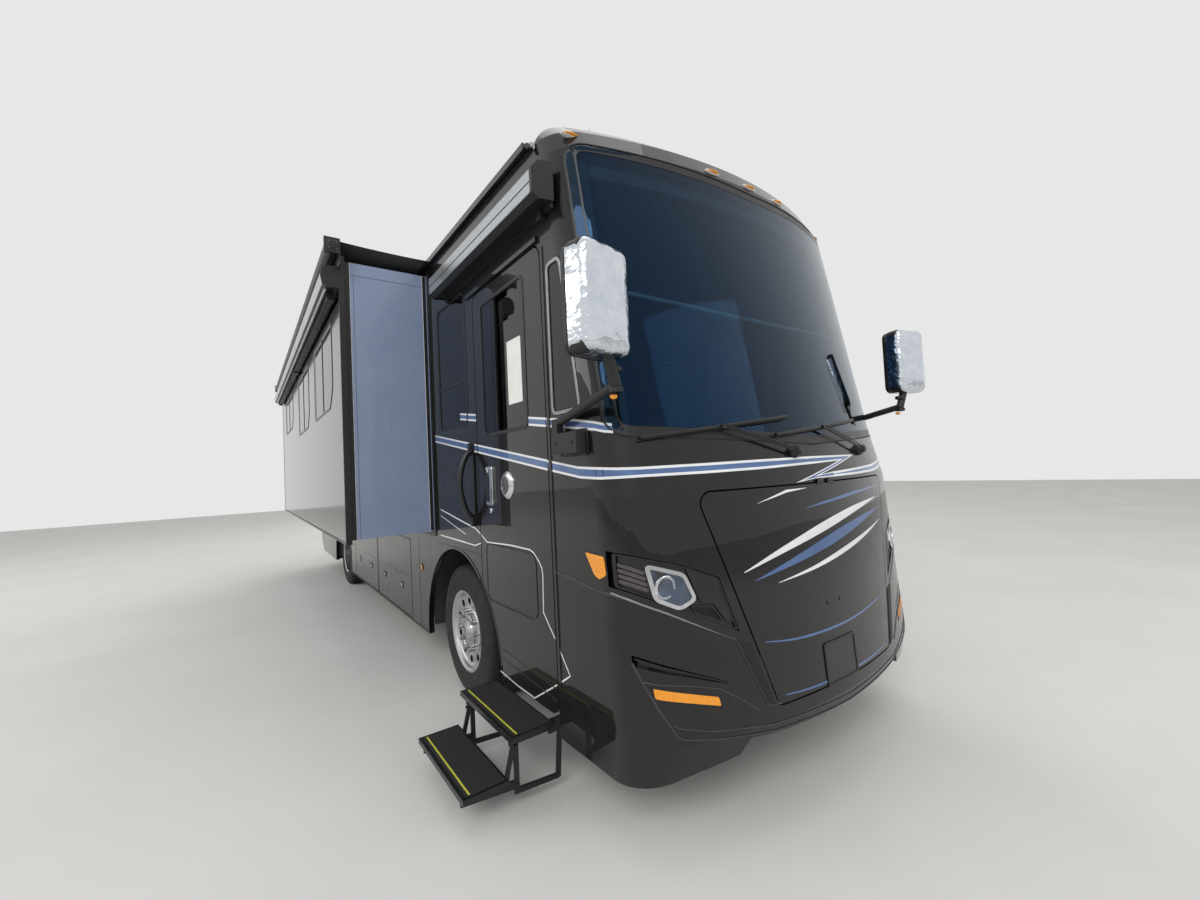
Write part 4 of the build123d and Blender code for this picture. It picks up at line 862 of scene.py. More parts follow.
def addHeadlamps():
    for side, name in sides:
        cluster = softened(mirrored(headlamp["cluster"], side), 0.01, 2)
        lens = softened(mirrored(headlamp["lens"], side), 0.022, 3)
        marker = softened([(uFromStation(side, s, z), z) for s, z in headlamp["marker"]], 0.01, 2)
        floor = headlamp["floor"]
        # 0 housing, 1 bright, 2 clear cover, 3 amber, 4 grey trim, 5 mesh, 6 blue lamp floor
        addPatch(cluster, onNose, floor - 0.016, floor + 0.001)
        addLoop(cluster, onNose, -0.007, 0, floor, 0.0005, step=0.04)
        addLoop(lens, onNose, -0.011, 0.006, floor, 0.0035, 1, step=0.03)
        addPatch(grown(lens, -0.011), onNose, floor + 0.0005, floor + 0.0018, 6)
        addPatch(grown(lens, -0.005), onNose, -0.0012, 0.001, 2)
        # round projector with its collar, and a slim light guide above it
        x, z = side * headlamp["beam"][0], headlamp["beam"][1]
        centre = onNose(x, z, floor)
        axis = Vector((side * 0.2, -1, -0.02))
        r = headlamp["beamRadius"]
        addLathe([(0, r + 0.006), (0.006, r + 0.006), (0.0085, r), (0.0075, r - 0.007), (0, r - 0.007)],
                 centre, axis, 40, 1)
        addDisc(centre, axis,
                [(-0.002, r - 0.008), (0.003, r - 0.008), (0.0068, r * 0.72), (0.0088, r * 0.4),
                 (0.0095, r * 0.06)], 40, 2)
        addDisc(centre, axis, [(-0.004, r - 0.006), (-0.002, r - 0.006), (-0.0018, r * 0.2)], 32, 4)
        guide = [(side * 1.118, 1.226), (side * 0.985, 1.182), (side * 0.952, 1.104)]
        addTube([onNose(*point, floor + 0.006) for point in divided(guide, 0.02)], 0.0035, 8, 2)
        # marker: black back, amber cover and ribs
        addPatch(grown(marker, 0.009), onHull, -0.001, 0.0012, step=0.03)
        addPatch(marker, onHull, 0.0012, 0.0046, 3, step=0.03)
        for i in range(4):
            height = 1.205 + 0.02 * i
            rib = [(uFromStation(side, s, height), height) for s in (0.5 + 0.014 * i, 0.438)]
            addLine(rib, 0.003, onHull, 0.0044, 0.0058, 3)
        # slats in the gap between marker and headlamp
        for i in range(4):
            addRung(((1.122, 1.11), (1.142, 1.24)), ((1.212, 1.152), (1.212, 1.276)), 0.2 + 0.19 * i,
                    side, 0.015, floor + 0.001, -0.005, 4)
        # inboard wing: a smooth painted panel that ends in a ledge over the mesh vent
        wing = softened(mirrored(headlamp["wing"], side), 0.008, 2)
        addPatch(wing, onNose, floor, -0.0015)
        vent = softened(mirrored(headlamp["vent"], side), 0.01, 2)
        addLoop(vent, onNose, -0.004, 0.003, floor, -0.002, step=0.03)
        p0, p1, p2, p3 = [Vector(point) for point in headlamp["vent"]]
        for ends, parts in (((p1, p2, p0, p3), [i / 8 for i in range(9)]),
                            ((p0, p1, p3, p2), [i / 5 for i in range(1, 5)])):
            for t in parts:
                wire = ends[0].lerp(ends[1], t), ends[2].lerp(ends[3], t)
                addTube([onNose(side * p.x, p.y, floor + 0.004) for p in wire], 0.0018, 6, 5)
        # the CAD lamps go with the first of the two
        replaced = ("lamps",) if side < 0 else ()
        tones = "satinBlack lampSilver glassClear amberLens lampGrey mouldedBlack lampBlue"
        finishPiece("headlamp_" + name, "coach", tones, bevel=0.0008, replaces=replaced)

        # bright fold under the lamps, its thin bright strip a painted highlight along the crease, ribbed
        # where it follows the hatch's edge
        fold = [(1.224, 1.118), (1.159, 1.079), (1.06, 1.03), (0.964, 0.981), (0.85, 0.924), (0.745, 0.872)]
        line = smoothRows(mirrored(fold, side), 4)
        # the line thins out towards the hatch
        far = [(x, z + 0.0015 + 0.0075 * min(1, max(0, (abs(x) - 0.8) / 0.25))) for x, z in line]
        addRibbon(line, far, onNose, -0.002, 0.004)
        for i in range(40):
            addRung(((0.736, 0.862), (0.61, 0.572)), ((0.664, 0.846), (0.566, 0.556)), i / 39,
                    side, 0.0036, -0.001, 0.0032, 1, step=0.05)
        # lighter grey line along the ribbed strip's edge, a painted highlight
        edge = [(0.746, 0.866), (0.614, 0.566), (0.562, 0.548)]
        addLine(mirrored(edge, side), 0.006, onNose, -0.001, 0.0042, 2)
        finishPiece("bright_fold_" + name, "coach",
                    "brushedSteel satinBlack paintEdge", bevel=0.001)

        # lamp in the bumper: grey trough, amber bar
        bar = softened(mirrored([(0.853, 0.609), (1.143, 0.689), (1.147, 0.738), (0.862, 0.655)], side),
                       0.01, 2)
        addPatch(bar, onNose, -0.026, -0.008)
        addLoop(bar, onNose, -0.003, 0.004, -0.01, 0.0022, 2, step=0.04)
        addPatch(grown(bar, -0.003), onNose, -0.008, 0.0012, 1)
        for i in range(14):
            addRung(((0.862, 0.613), (1.14, 0.692)), ((0.868, 0.648), (1.143, 0.73)), (i + 0.5) / 14,
                    side, 0.002, 0.001, 0.0022, 1, step=0.05)
        # black lip of the blade slot above it
        slot = [(1.19, 0.852), (0.816, 0.703)]
        addLine(mirrored(slot, side), 0.006, onNose, -0.02, 0, 2)
        finishPiece("bumper_lamp_" + name, "coach", "lampGrey amberLens satinBlack", bevel=0.0008)


# Clearance lamps: places across and heights, as on the solids
roofLamps = [(-1.13, 3.4), (-0.31, 3.345), (0, 3.34), (0.31, 3.345), (1.13, 3.4)]
tailLamps = ((1.56, 1.7, 1), (1.71, 1.85, 2), (1.86, 2, 1))   # from, to, 1 red or 2 amber


def addSmallLamps():
    for x, z in roofLamps:
        base = onNose(x, z, 0)
        # a bezel and its lens, in rows of half width, half height and lift
        for index, rows in enumerate((
                ((0.056, 0.017, -0.012), (0.056, 0.017, 0.006), (0.052, 0.014, 0.011), (0.043, 0.01, 0.011)),
                ((0.044, 0.0105, 0.008), (0.041, 0.009, 0.018), (0.03, 0.006, 0.023),
                 (0.01, 0.002, 0.0245)))):
            addLoft([[Vector((x + width * cos(a), base.y - lift + 0.006 * sin(a), z + tall * sin(a)))
                      for a in turns(36)] for width, tall, lift in rows], index)
    finishPiece("clearance_lamps", "coach", "whitePlastic amberLens")
    end = coach["length"]
    for side in (-1, 1):
        for z0, z1, tone in tailLamps:
            middle = (z0 + z1) / 2
            place = at(side * 1.05, end - 0.022, middle)
            addLathe([(-0.02, 0.062), (0.01, 0.062), (0.014, 0.056), (-0.02, 0.054)], place, (0, 1, 0), 36, 3)
            addDisc(place, (0, 1, 0),
                    [(-0.02, 0.054), (0.008, 0.054), (0.013, 0.04), (0.016, 0.02), (0.017, 0.004)], 36, tone)
        panel = rounded(side * 1.05 - 0.075, side * 1.05 + 0.075, 1.535, 2.025, 0.05)
        addPlate(panel, onEnd(end - 0.022, 1), -0.02, 0.002)
    finishPiece("tail_lamps", "coach", "satinBlack redLens amberLens lampSilver", bevel=0.001)


addHeadlamps()
addSmallLamps()
print("lamps")


# Mirrors: the solids carry a bright shell, glass and a turn lamp; the curb one still has its wrapping film

mirror = {
    "centre": (1.376, 0.19, 2.336),
    "turn": 12,
    "size": (0.272, 0.448),
}


def addMirrors():
    width, tall = mirror["size"]
    for side, name in sides:
        # the solids' left mirror is the right one seen in a glass, so its turn is the other way
        x, s, z = mirror["centre"]
        turn = Matrix.Rotation(radians(-side * mirror["turn"]), 4, "Z")
        place = Matrix.Translation(at(side * x, s, z)) @ turn
        put = lambda a, b, lift: place @ Vector((a, lift, b))
        # 0 bright shell over the front and sides, still in its clear film, 1 black, 2 mirror glass
        outline = rounded(-width / 2, width / 2, -tall / 2, tall / 2, 0.05, 6)
        rings = []
        shell = ((-0.086, 0.11), (-0.0845, 0.085), (-0.08, 0.058), (-0.0725, 0.033), (-0.061, 0.013),
                 (-0.045, 0.002), (-0.02, -0.0016), (0.03, -0.0016), (0.04, 0.0005))
        for lift, inset in shell:
            a, b = width / 2 - inset, tall / 2 - inset
            ring = rounded(-a, a, -b, b, max(0.05 - inset, 0.012), 6)
            rings.append([put(a, b, lift) for a, b in ring])
        addLoft(rings)
        addLoop(outline, put, -0.03, -0.004, 0.048, 0.0665, 1, step=0.08)
        addPlate(grown(outline, -0.026), put, 0.05, 0.0655, 2)
        addTube([put(a, -0.075, 0.0668) for a in (-0.105, 0.105)], 0.0035, 8, 1)
        finishPiece("mirror_shell_" + name, "coach", "wrapFilm mouldedBlack lampSilver",
                    bevel=0.002)
        # bolts and boots on the arm
        x = side * (half + 0.062)
        for s, z, size in ((0.56, 1.802, 0.01), (0.7, 1.802, 0.01)):
            addDisc(at(x - side * 0.001, s, z), (side, 0, 0),
                    [(0, size), (0.004, size), (0.006, size * 0.7), (0.0065, 0.001)], 6)
        for z, radius in ((1.99, 0.03), (2.075, 0.028)):
            a = at(x, 0.205, z)
            addLathe([(-0.012, 0.02), (-0.01, radius), (0.01, radius), (0.012, 0.02)], a, (0, 0, 1), 24)
        addLoop(rounded(0.512, 0.75, 1.744, 1.86, 0.016), onSide(side), -0.002, 0.006, 0.0004, 0.006)
        lampPlace = at(x, 0.222, 1.972)
        addDisc(lampPlace, (0, 0, -1), [(0, 0.016), (0.01, 0.015), (0.016, 0.01), (0.018, 0.002)], 20, 1)
        finishPiece("mirror_fittings_" + name, "coach", "mouldedBlack amberLens", bevel=0.001)


addMirrors()
print("mirrors")


# Entry door and its neighbours: seams, window frame, latch, lamp, handle ends, awning

door = {
    "end": 1.833,
    "pane": (1.09, 1.71, 1.92, 2.8),
    "panel": (1.062, 1.76, 0.846, 1.224),
    "lamp": (1.385, 1.6),
    "latch": (1.65, 1.595),
}


def addPaneFrame(outline, place, index=0, width=0.016, proud=0.0035):
    # a flat frame over the pane's edge and a rubber bead inside it
    addLoop(outline, place, -width, 0.004, -0.0028, proud, index)
    addLoop(grown(outline, -width), place, -0.005, 0, -0.0028, 0.0005, index + 1)


def addDoorFittings():
    place = onSide(-1)
    s0, s1, z0, z1 = door["pane"]
    addPaneFrame(rounded(s0, s1, z0, z1, 0.05), place, 0, 0.013)
    # seal all round the leaf, seen as a dark line in the gap, open at the wheel
    edge = [(door["end"] + 0.004, 0.96), (door["end"] + 0.004, 2.824), (door["end"] - 0.016, 2.872),
            (1.763, 2.894), (0.963, 2.894), (0.913, 2.874), (0.889, 2.824), (0.889, 0.47)]
    finishPiece("door_window_frame", "door", "satinBlack sealRubber", bevel=0.001)
    addTube([place(s, z, -0.012) for s, z in divided(edge, 0.2)], 0.0036, 6)
    finishPiece("door_seal", "coach", "sealRubber")

    # pressed lines of the leaf: lower panel edge, sill lines, blank sheet in the window
    p0, p1, q0, q1 = door["panel"]
    panel = rounded(p0 + 0.012, p1 - 0.012, q0 + 0.012, q1 - 0.012, 0.055)
    addLoop(panel, place, -0.004, 0.004, -0.002, 0.0022)
    for z in (0.5, 0.56):
        addLine([(0.9, z - 0.02), (1.3, z), (1.56, z + 0.012)], 0.007, place, -0.002, 0.003)
    finishPiece("door_pressings", "door", "wallPaint", bevel=0.0018, segments=3)
    sheet = rounded(1.15, 1.33, 2.08, 2.46, 0.004, 2)
    addPlate(sheet, place, -0.0028, -0.0023)
    finishPiece("door_window_sheet", "door", "paperWhite")

    # latch: cup, paddle, lock; round porch lamp beside it
    s, z = door["latch"]
    addTrims([(-0.052, 0.052, -0.128, 0.128, 0.02, -0.014, 0, 0.0003, 0.008, 1),
              (-0.018, 0.022, -0.1, 0.076, 0.01, 0.0175, 0.022, 0),
              (-0.046, 0.046, -0.122, 0.122, 0.016, 0.0003, 0.004, 1),
              (-0.046, -0.018, -0.118, 0.118, 0.01, 0.003, 0.018, 1),
              (0.026, 0.046, -0.118, 0.118, 0.008, 0.003, 0.012, 1)], place, s, z)
    addDisc(place(s, z + 0.094, 0.017), (-1, 0, 0),
            [(0, 0.011), (0.004, 0.011), (0.005, 0.008), (0.0052, 0.001)], 20, 1)
    addDisc(place(s, z - 0.16, 0), (-1, 0, 0),
            [(-0.001, 0.018), (0.005, 0.017), (0.007, 0.012), (0.0072, 0.001)], 24, 1)
    finishPiece("door_latch", "door", "satinBlack chrome", bevel=0.0012)
    s, z = door["lamp"]
    base = place(s, z, 0)
    ring = [(-0.001, 0.086), (0.006, 0.085), (0.013, 0.076), (0.019, 0.062), (0.02, 0.052), (-0.001, 0.05)]
    addLathe(ring, base, (-1, 0, 0), 40)
    addDisc(base, (-1, 0, 0),
            [(-0.001, 0.051), (0.016, 0.05), (0.02, 0.036), (0.022, 0.018), (0.0225, 0.002)], 36, 1)
    finishPiece("door_lamp", "door", "chrome lampGrey", bevel=0.0006)

    # hinge cover strips ahead of the door: two dark seams with a lighter strip between
    addLine([(0.862, 0.5), (0.862, 2.86)], 0.022, place, 0.0003, 0.005, step=0.5)
    for s in (0.846, 0.879):
        addLine([(s, 0.5), (s, 2.86)], 0.005, place, 0.0003, 0.002, 1, step=0.5)
    finishPiece("door_hinge_strip", "coach", "wallPaint sealRubber", bevel=0.0012)

    # window frames of the quarter panes and the wall panes
    for side, name in sides:
        put = onSide(side)
        quarter = softened([(0.56, 1.96), (0.822, 1.96), (0.822, 2.75), (0.69, 2.75)], 0.045)
        addLoop(quarter, put, -0.014, 0.005, -0.0028, 0.003, 2)
        addLoop(grown(quarter, -0.014), put, -0.006, 0, -0.0028, 0.0008, 1)
        panes = [(1.99, 2.59, 2.03, 3)] if side < 0 else [
            (1.15, 1.9, 1.95, 2.86), (2.15, 2.9, 2, 2.8), (7.45, 8.3, 2.3, 2.95)]
        for s0, s1, z0, z1 in panes:
            addPaneFrame(rounded(s0, s1, z0, z1, 0.06), put)
            rail = (z0 * 2 + z1) / 3
            addLine([(s0 + 0.02, rail), (s1 - 0.02, rail)], 0.02, put, -0.0028, 0.001, step=0.5)
        finishPiece("side_window_frames_" + name, "coach",
                    "satinBlack sealRubber brushedSteel", bevel=0.001)


def addHandleAndGutter():
    # the bowed loop handle with its two end mounts and the flat strip along the wall
    bow = []
    for i in range(25):
        t = i / 24
        bow.append((-half - 0.018 - 0.082 * sin(pi * t) ** 0.55, yOf(1.917), 1.374 + 0.462 * t))
    addTube(bow, [0.016 + 0.006 * abs(i - 12) / 12 for i in range(25)], 16)
    addPlate(rounded(1.898, 1.936, 1.33, 1.88, 0.014), onSide(-1), 0.0003, 0.012)
    for z in (1.352, 1.858):
        addPlate(rounded(1.894, 1.94, z - 0.034, z + 0.034, 0.014), onSide(-1), 0.0003, 0.034)
        addDisc(at(-half - 0.034, 1.917, z), (-1, 0, 0),
                [(0, 0.009), (0.003, 0.009), (0.004, 0.006), (0.0042, 0.001)], 12)
    finishPiece("handle_grip", "coach", "satinBlack", bevel=0.003, replaces=("grab_handle",))

    for side, name in sides:
        put = onSide(side)
        # bright bead along the gutter and the joint above it; rubber spout with a pale tongue at the front
        addLine([(0.965, 3.478), (9.9, 3.478)], 0.005, put, 0.001, 0.0055, step=1)
        addLine([(0.965, 3.428), (9.9, 3.428)], 0.006, put, -0.001, 0.003, 1, step=1)
        spout = [(0.985, 3.456, 0.016), (0.955, 3.452, 0.018), (0.925, 3.44, 0.021), (0.905, 3.42, 0.025),
                 (0.898, 3.398, 0.027)]
        addTube([put(*point) for point in spout], [0.015, 0.015, 0.014, 0.013, 0.014], 12, 1)
        tongue = [(0.925, 3.452), (0.905, 3.446), (0.88, 3.425), (0.872, 3.395)]
        addLine(tongue, 0.016, put, 0.008, 0.0105, 2)
        finishPiece("gutter_trim_" + name, "coach",
                    "anodised sealRubber gutterGrip", bevel=0.0008)


def addDoorAwning():
    # bright outer skin of the case, black ends, the arm's elbow and bracket
    outer = [(0.098, 3.2055), (0.1372, 3.159), (0.1372, 3.045)]
    put = lambda a, b, lift: at(-half - a, lift, b)
    inner = [(a - 0.0035, b - 0.002) for a, b in outer]
    section = outer + inner[::-1]
    addLoft([[put(a, b, s) for a, b in section] for s in (0.712, 2.318)])
    seam = [(0.1376, 3.102), (0.1384, 3.1), (0.1384, 3.096), (0.1376, 3.094)]
    addLoft([[put(a, b, s) for a, b in seam] for s in (0.714, 2.316)], 1)
    for s0, s1 in ((0.692, 0.7125), (2.3175, 2.338)):
        cap = [(0.012, 3.024), (0.098, 3.016), (0.1385, 3.04), (0.1385, 3.16), (0.1, 3.2085), (0.012, 3.228)]
        addLoft([[put(a, b, s) for a, b in cap] for s in (s0, s1)], 2)
    for s in (0.8, 2.24):
        addBlock(-half - 0.03, -half - 0.0005, s, s + 0.05, 2.985, 3.135, 2)
        addDisc(at(-half - 0.03, s + 0.025, 3), (-1, 0, 0),
                [(0, 0.008), (0.004, 0.008), (0.005, 0.001)], 6, 2)
    finishPiece("door_awning_skin", "coach",
                "anodised sealRubber caseBlack", bevel=0.002)


addDoorFittings()
addHandleAndGutter()
addDoorAwning()
print("entry side")


# Entry step: grit treads with yellow nosings, rivets on the plate frames

def addStepDress():
    for x0, x1, top in ((-1.488, -1.25, 0.372), (-1.74, -1.51, 0.182)):
        addBlock(x0 + 0.018, x1 - 0.012, 0.932, 1.598, top - 0.0005, top + 0.0022)
        addBlock(x0 + 0.034, x0 + 0.043, 0.94, 1.59, top + 0.0015, top + 0.0034, 1)
        addBlock(x0 - 0.0025, x0 + 0.001, 0.913, 1.617, top - 0.028, top + 0.001, 2)
    for s in (0.953, 1.5425):
        direction = -1 if s < 1.2 else 1
        for x, z in ((-1.449, 0.31), (-1.449, 0.12), (-1.214, 0.075), (-1.191, 0.31), (-1.7, 0.15),
                     (-1.48, 0.3)):
            addDisc(at(x, s, z), (0, direction, 0),
                    [(-0.001, 0.009), (0.003, 0.009), (0.006, 0.006), (0.0065, 0.001)], 10, 2)
    finishPiece("step_treads", "step",
                "gritTread safetyYellow satinBlack", bevel=0.0008)


addStepDress()
print("step")


# Slide-outs: edge trims, seals, window frames, roller fittings, awning case and topper cloth

slides = [
    {"name": "right", "side": -1, "start": 2.82, "end": 9.39, "patio": True,
     "panes": [(3.25, 4.5, 2.3, 3.02), (5.05, 6.3, 2.3, 3.02), (7.2, 8.6, 2.5, 3.02)]},
    {"name": "left", "side": 1, "start": 3.25, "end": 7.05, "patio": False,
     "panes": [(3.6, 4.9, 2.15, 3), (5.35, 6.6, 2.15, 3)]},
]
slideSizes = {
    "bottom": 1.215,
    "top": 3.38,
    "lap": 0.03,
    "trim": 0.022,
    "slant": 0.17,
    "rollerX": 1.957,
    "rollerZ": 3.44,
    "rollerRadius": 0.05,
    "overhang": 0.1,
    "gutterTop": 3.475,
    "sag": 0.014,
}


def addSlideDress(slide):
    side, s0, s1 = slide["side"], slide["start"], slide["end"]
    body = "slide_out_" + slide["name"]
    bottom, top, lap = slideSizes["bottom"], slideSizes["top"], slideSizes["lap"]
    face = onSide(side, coach["slideOuter"])
    # 0 black trim, 1 white line, 2 rubber, 3 bright
    edge = rounded(s0 - lap, s1 + lap, bottom - lap, top + lap, 0.012, 3)
    addLoop(edge, face, -slideSizes["trim"], 0.0008, -0.038, 0.003, step=0.5)
    addLoop(grown(edge, -0.03), face, -0.003, 0, 0, 0.0009, 1, step=0.5)
    for s, direction in ((s0, -1), (s1, 1)):
        end = lambda x, z, lift, s=s, direction=direction: Vector((side * x, yOf(s) + direction * lift, z))
        # corner strips with a thin white line, fine joint lines near the top and outer edges
        for x0, x1, z0, z1, proud, tone in ((1.828, 1.8645, bottom, top, 0.0026, 0),
                                            (1.8245, 1.828, bottom, top, 0.0015, 1),
                                            (1.243, 1.268, bottom + 0.01, top - 0.005, 0.0028, 0),
                                            (1.268, 1.2715, bottom + 0.01, top - 0.005, 0.0015, 1),
                                            (1.275, 1.822, top - 0.1, top - 0.097, 0.0008, 0),
                                            (1.8, 1.8025, bottom, top - 0.1, 0.0008, 0)):
            addPlate([(x0, z0), (x1, z0), (x1, z1), (x0, z1)], end, -0.001, proud, tone)
        for i in range(9):
            z = bottom + 0.12 + 0.23 * i
            centre = end(1.846, z, 0.0016)
            addDisc(centre, (0, direction, 0), [(-0.001, 0.006), (0.0014, 0.005), (0.002, 0.001)], 8, 2)
    for pane in slide["panes"]:
        p0, p1, q0, q1 = pane
        slant = slideSizes["slant"]
        outline = softened([(p0 + slant, q0), (p1, q0), (p1, q1), (p0, q1), (p0, q0 + slant)], 0.05)
        addPaneFrame(outline, face, 0, 0.018)
        middle = (p0 + p1) / 2
        addLine([(middle, q0 + 0.02), (middle, q1 - 0.02)], 0.018, face, -0.0028, 0.0012, step=0.5)
    # the drip cap over the face
    addLine([(s0 - lap, top + lap - 0.008), (s1 + lap, top + lap - 0.008)], 0.012, face, 0.002, 0.012, step=1)
    finishPiece("slide_trim_" + slide["name"], body, "satinBlack stripeWhite sealRubber chrome",
                bevel=0.001)

    # wiper seal on the wall round the opening
    wall = onSide(side)
    opening = rounded(s0 - 0.008, s1 + 0.008, bottom - 0.008, 3.388, 0.01, 3)
    addLoop(opening, wall, 0.002, 0.034, 0.0004, 0.007, step=0.6)
    addLoop(opening, wall, 0, 0.004, -0.03, 0.004, 1, step=0.6)
    finishPiece("slide_seal_" + slide["name"], "coach", "satinBlack sealRubber", bevel=0.0015)


def addRollerDress(slide):
    side, s0, s1 = slide["side"], slide["start"], slide["end"]
    x, z = side * slideSizes["rollerX"], slideSizes["rollerZ"]
    for s, direction in ((s0 - slideSizes["overhang"] - 0.03, -1), (s1 + slideSizes["overhang"] + 0.03, 1)):
        centre = at(x, s, z)
        addDisc(centre, (0, direction, 0),
                [(-0.001, 0.044), (0.004, 0.042), (0.006, 0.03), (0.011, 0.028), (0.012, 0.004)], 32)
        for turn in range(4):
            angle = pi / 4 + turn * pi / 2
            bolt = centre + Vector((0.036 * cos(angle), 0, 0.036 * sin(angle)))
            addDisc(bolt, (0, direction, 0), [(0, 0.005), (0.0065, 0.005), (0.007, 0.001)], 6, 1)
    if slide["patio"]:
        face = coach["slideOuter"]
        outer = [(0.0705, 3.3175), (0.113, 3.293), (0.1255, 3.24), (0.1135, 3.176)]
        inner = [(a - 0.003, b - 0.001) for a, b in outer]
        put = lambda a, b, s: at(side * (face + a), s, b)
        for k in range(3):
            first = s0 - 0.012 + (s1 - s0 + 0.024) * k / 3
            last = s0 - 0.012 + (s1 - s0 + 0.024) * (k + 1) / 3 - 0.001
            addLoft([[put(a, b, s) for a, b in outer + inner[::-1]] for s in (first, last)], 2)
        for first, last in ((s0 - 0.03, s0 - 0.012), (s1 + 0.012, s1 + 0.03)):
            cap = [(0.002, 3.154), (0.079, 3.152), (0.1155, 3.174), (0.1275, 3.24), (0.1145, 3.296),
                   (0.071, 3.3205), (0.002, 3.3165)]
            addLoft([[put(a, b, s) for a, b in cap] for s in (first, last)])
        # folding arm's knuckles and the lead rail under the case
        for s in (s0 + 0.16, (s0 + s1) / 2, s1 - 0.16):
            addBlock(side * (face + 0.014), side * (face + 0.068), s - 0.045, s + 0.045, 3.098, 3.158)
        addTube([put(0.088, 3.146, s0 + 0.02), put(0.088, 3.146, s1 - 0.02)], 0.011, 10, 2)
    finishPiece("awning_fittings_" + slide["name"], "slide_out_" + slide["name"],
                "caseBlack zincSteel anodised", bevel=0.0012)


def addTopper(slide):
    # cloth from the gutter over the slide's roof and round the roller, hanging a little between its hems
    side = slide["side"]
    s0, s1 = slide["start"] - slideSizes["overhang"], slide["end"] + slideSizes["overhang"]
    inner, z0 = half + 0.006, slideSizes["gutterTop"] + 0.0006
    rollerX, rollerZ = slideSizes["rollerX"], slideSizes["rollerZ"]
    radius = slideSizes["rollerRadius"] + 0.0012
    z1 = rollerZ + radius
    columns = 140
    rows = []
    for k in range(17):
        t = k / 16
        rows.append((inner + (rollerX - inner) * t, z0 + (z1 - z0) * t, sin(pi * t) ** 0.8))
    for k in range(1, 10):
        angle = pi / 2 * k / 9 * 1.5
        rows.append((rollerX + radius * sin(angle), rollerZ + radius * cos(angle), 0))
    rings = []
    for i in range(columns + 1):
        s = s0 + (s1 - s0) * i / columns
        across = sin(pi * i / columns) ** 0.5
        ripple = 0.0016 * sin(i * 0.9) + 0.0012 * sin(i * 0.37 + 1)
        faces = []
        for lift in (0, 0.0014):
            line = []
            for j, (x, z, slack) in enumerate(rows):
                drop = slack * (slideSizes["sag"] * (0.55 + 0.45 * across) + ripple)
                angle = pi / 2 * max(j - 16, 0) / 9 * 1.5
                line.append(at(side * (x + lift * sin(angle)), s, z - drop + lift * cos(angle)))
            faces.append(line)
        rings.append(faces[1] + faces[0][::-1])
    addLoft(rings)
    name = slide["name"]
    topper = finishPiece("topper_cloth_" + name, "slide_out_" + name, "awningCloth",
                         angle=70, replaces=("topper_" + name,))
    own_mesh(topper)


for slide in slides:
    addSlideDress(slide)
    addRollerDress(slide)
    addTopper(slide)
print("slide-outs")


# Bay doors: seals, pressed panels and latches

def addBayDress():
    for side, name in sides:
        put = onSide(side)
        for number, (s0, s1) in enumerate(((3.6, 5.06), (5.072, 6.532)), 1):
            addLoop(rounded(s0 + 0.012, s1 - 0.012, 0.342, 1.068, 0.026), put, -0.01, 0, -0.0008, 0.0016)
            addLine([(s0 + 0.1, 0.705), (s1 - 0.1, 0.705)], 0.01, put, -0.002, 0.0026, step=0.5)
            for s in (s0 + 0.36, s1 - 0.36):
                addTrims([(-0.052, 0.052, 0.556, 0.624, 0.014, -0.009, 0, 0, 0.004, 1),
                          (-0.042, 0.042, 0.566, 0.614, 0.008, 0.0003, 0.0012, 1),
                          (-0.032, 0.032, 0.572, 0.6, 0.01, 0.0008, 0.0075, 2)], put, s)
                addDisc(put(s + 0.024, 0.6085, 0.001), (side, 0, 0),
                        [(-0.001, 0.0045), (0.0025, 0.0045), (0.003, 0.001)], 12, 2)
            finishPiece("bay_fittings_" + name + "_" + str(number), "bay_" + name + "_" + str(number),
                        "wallPaint satinBlack chrome", bevel=0.0012)


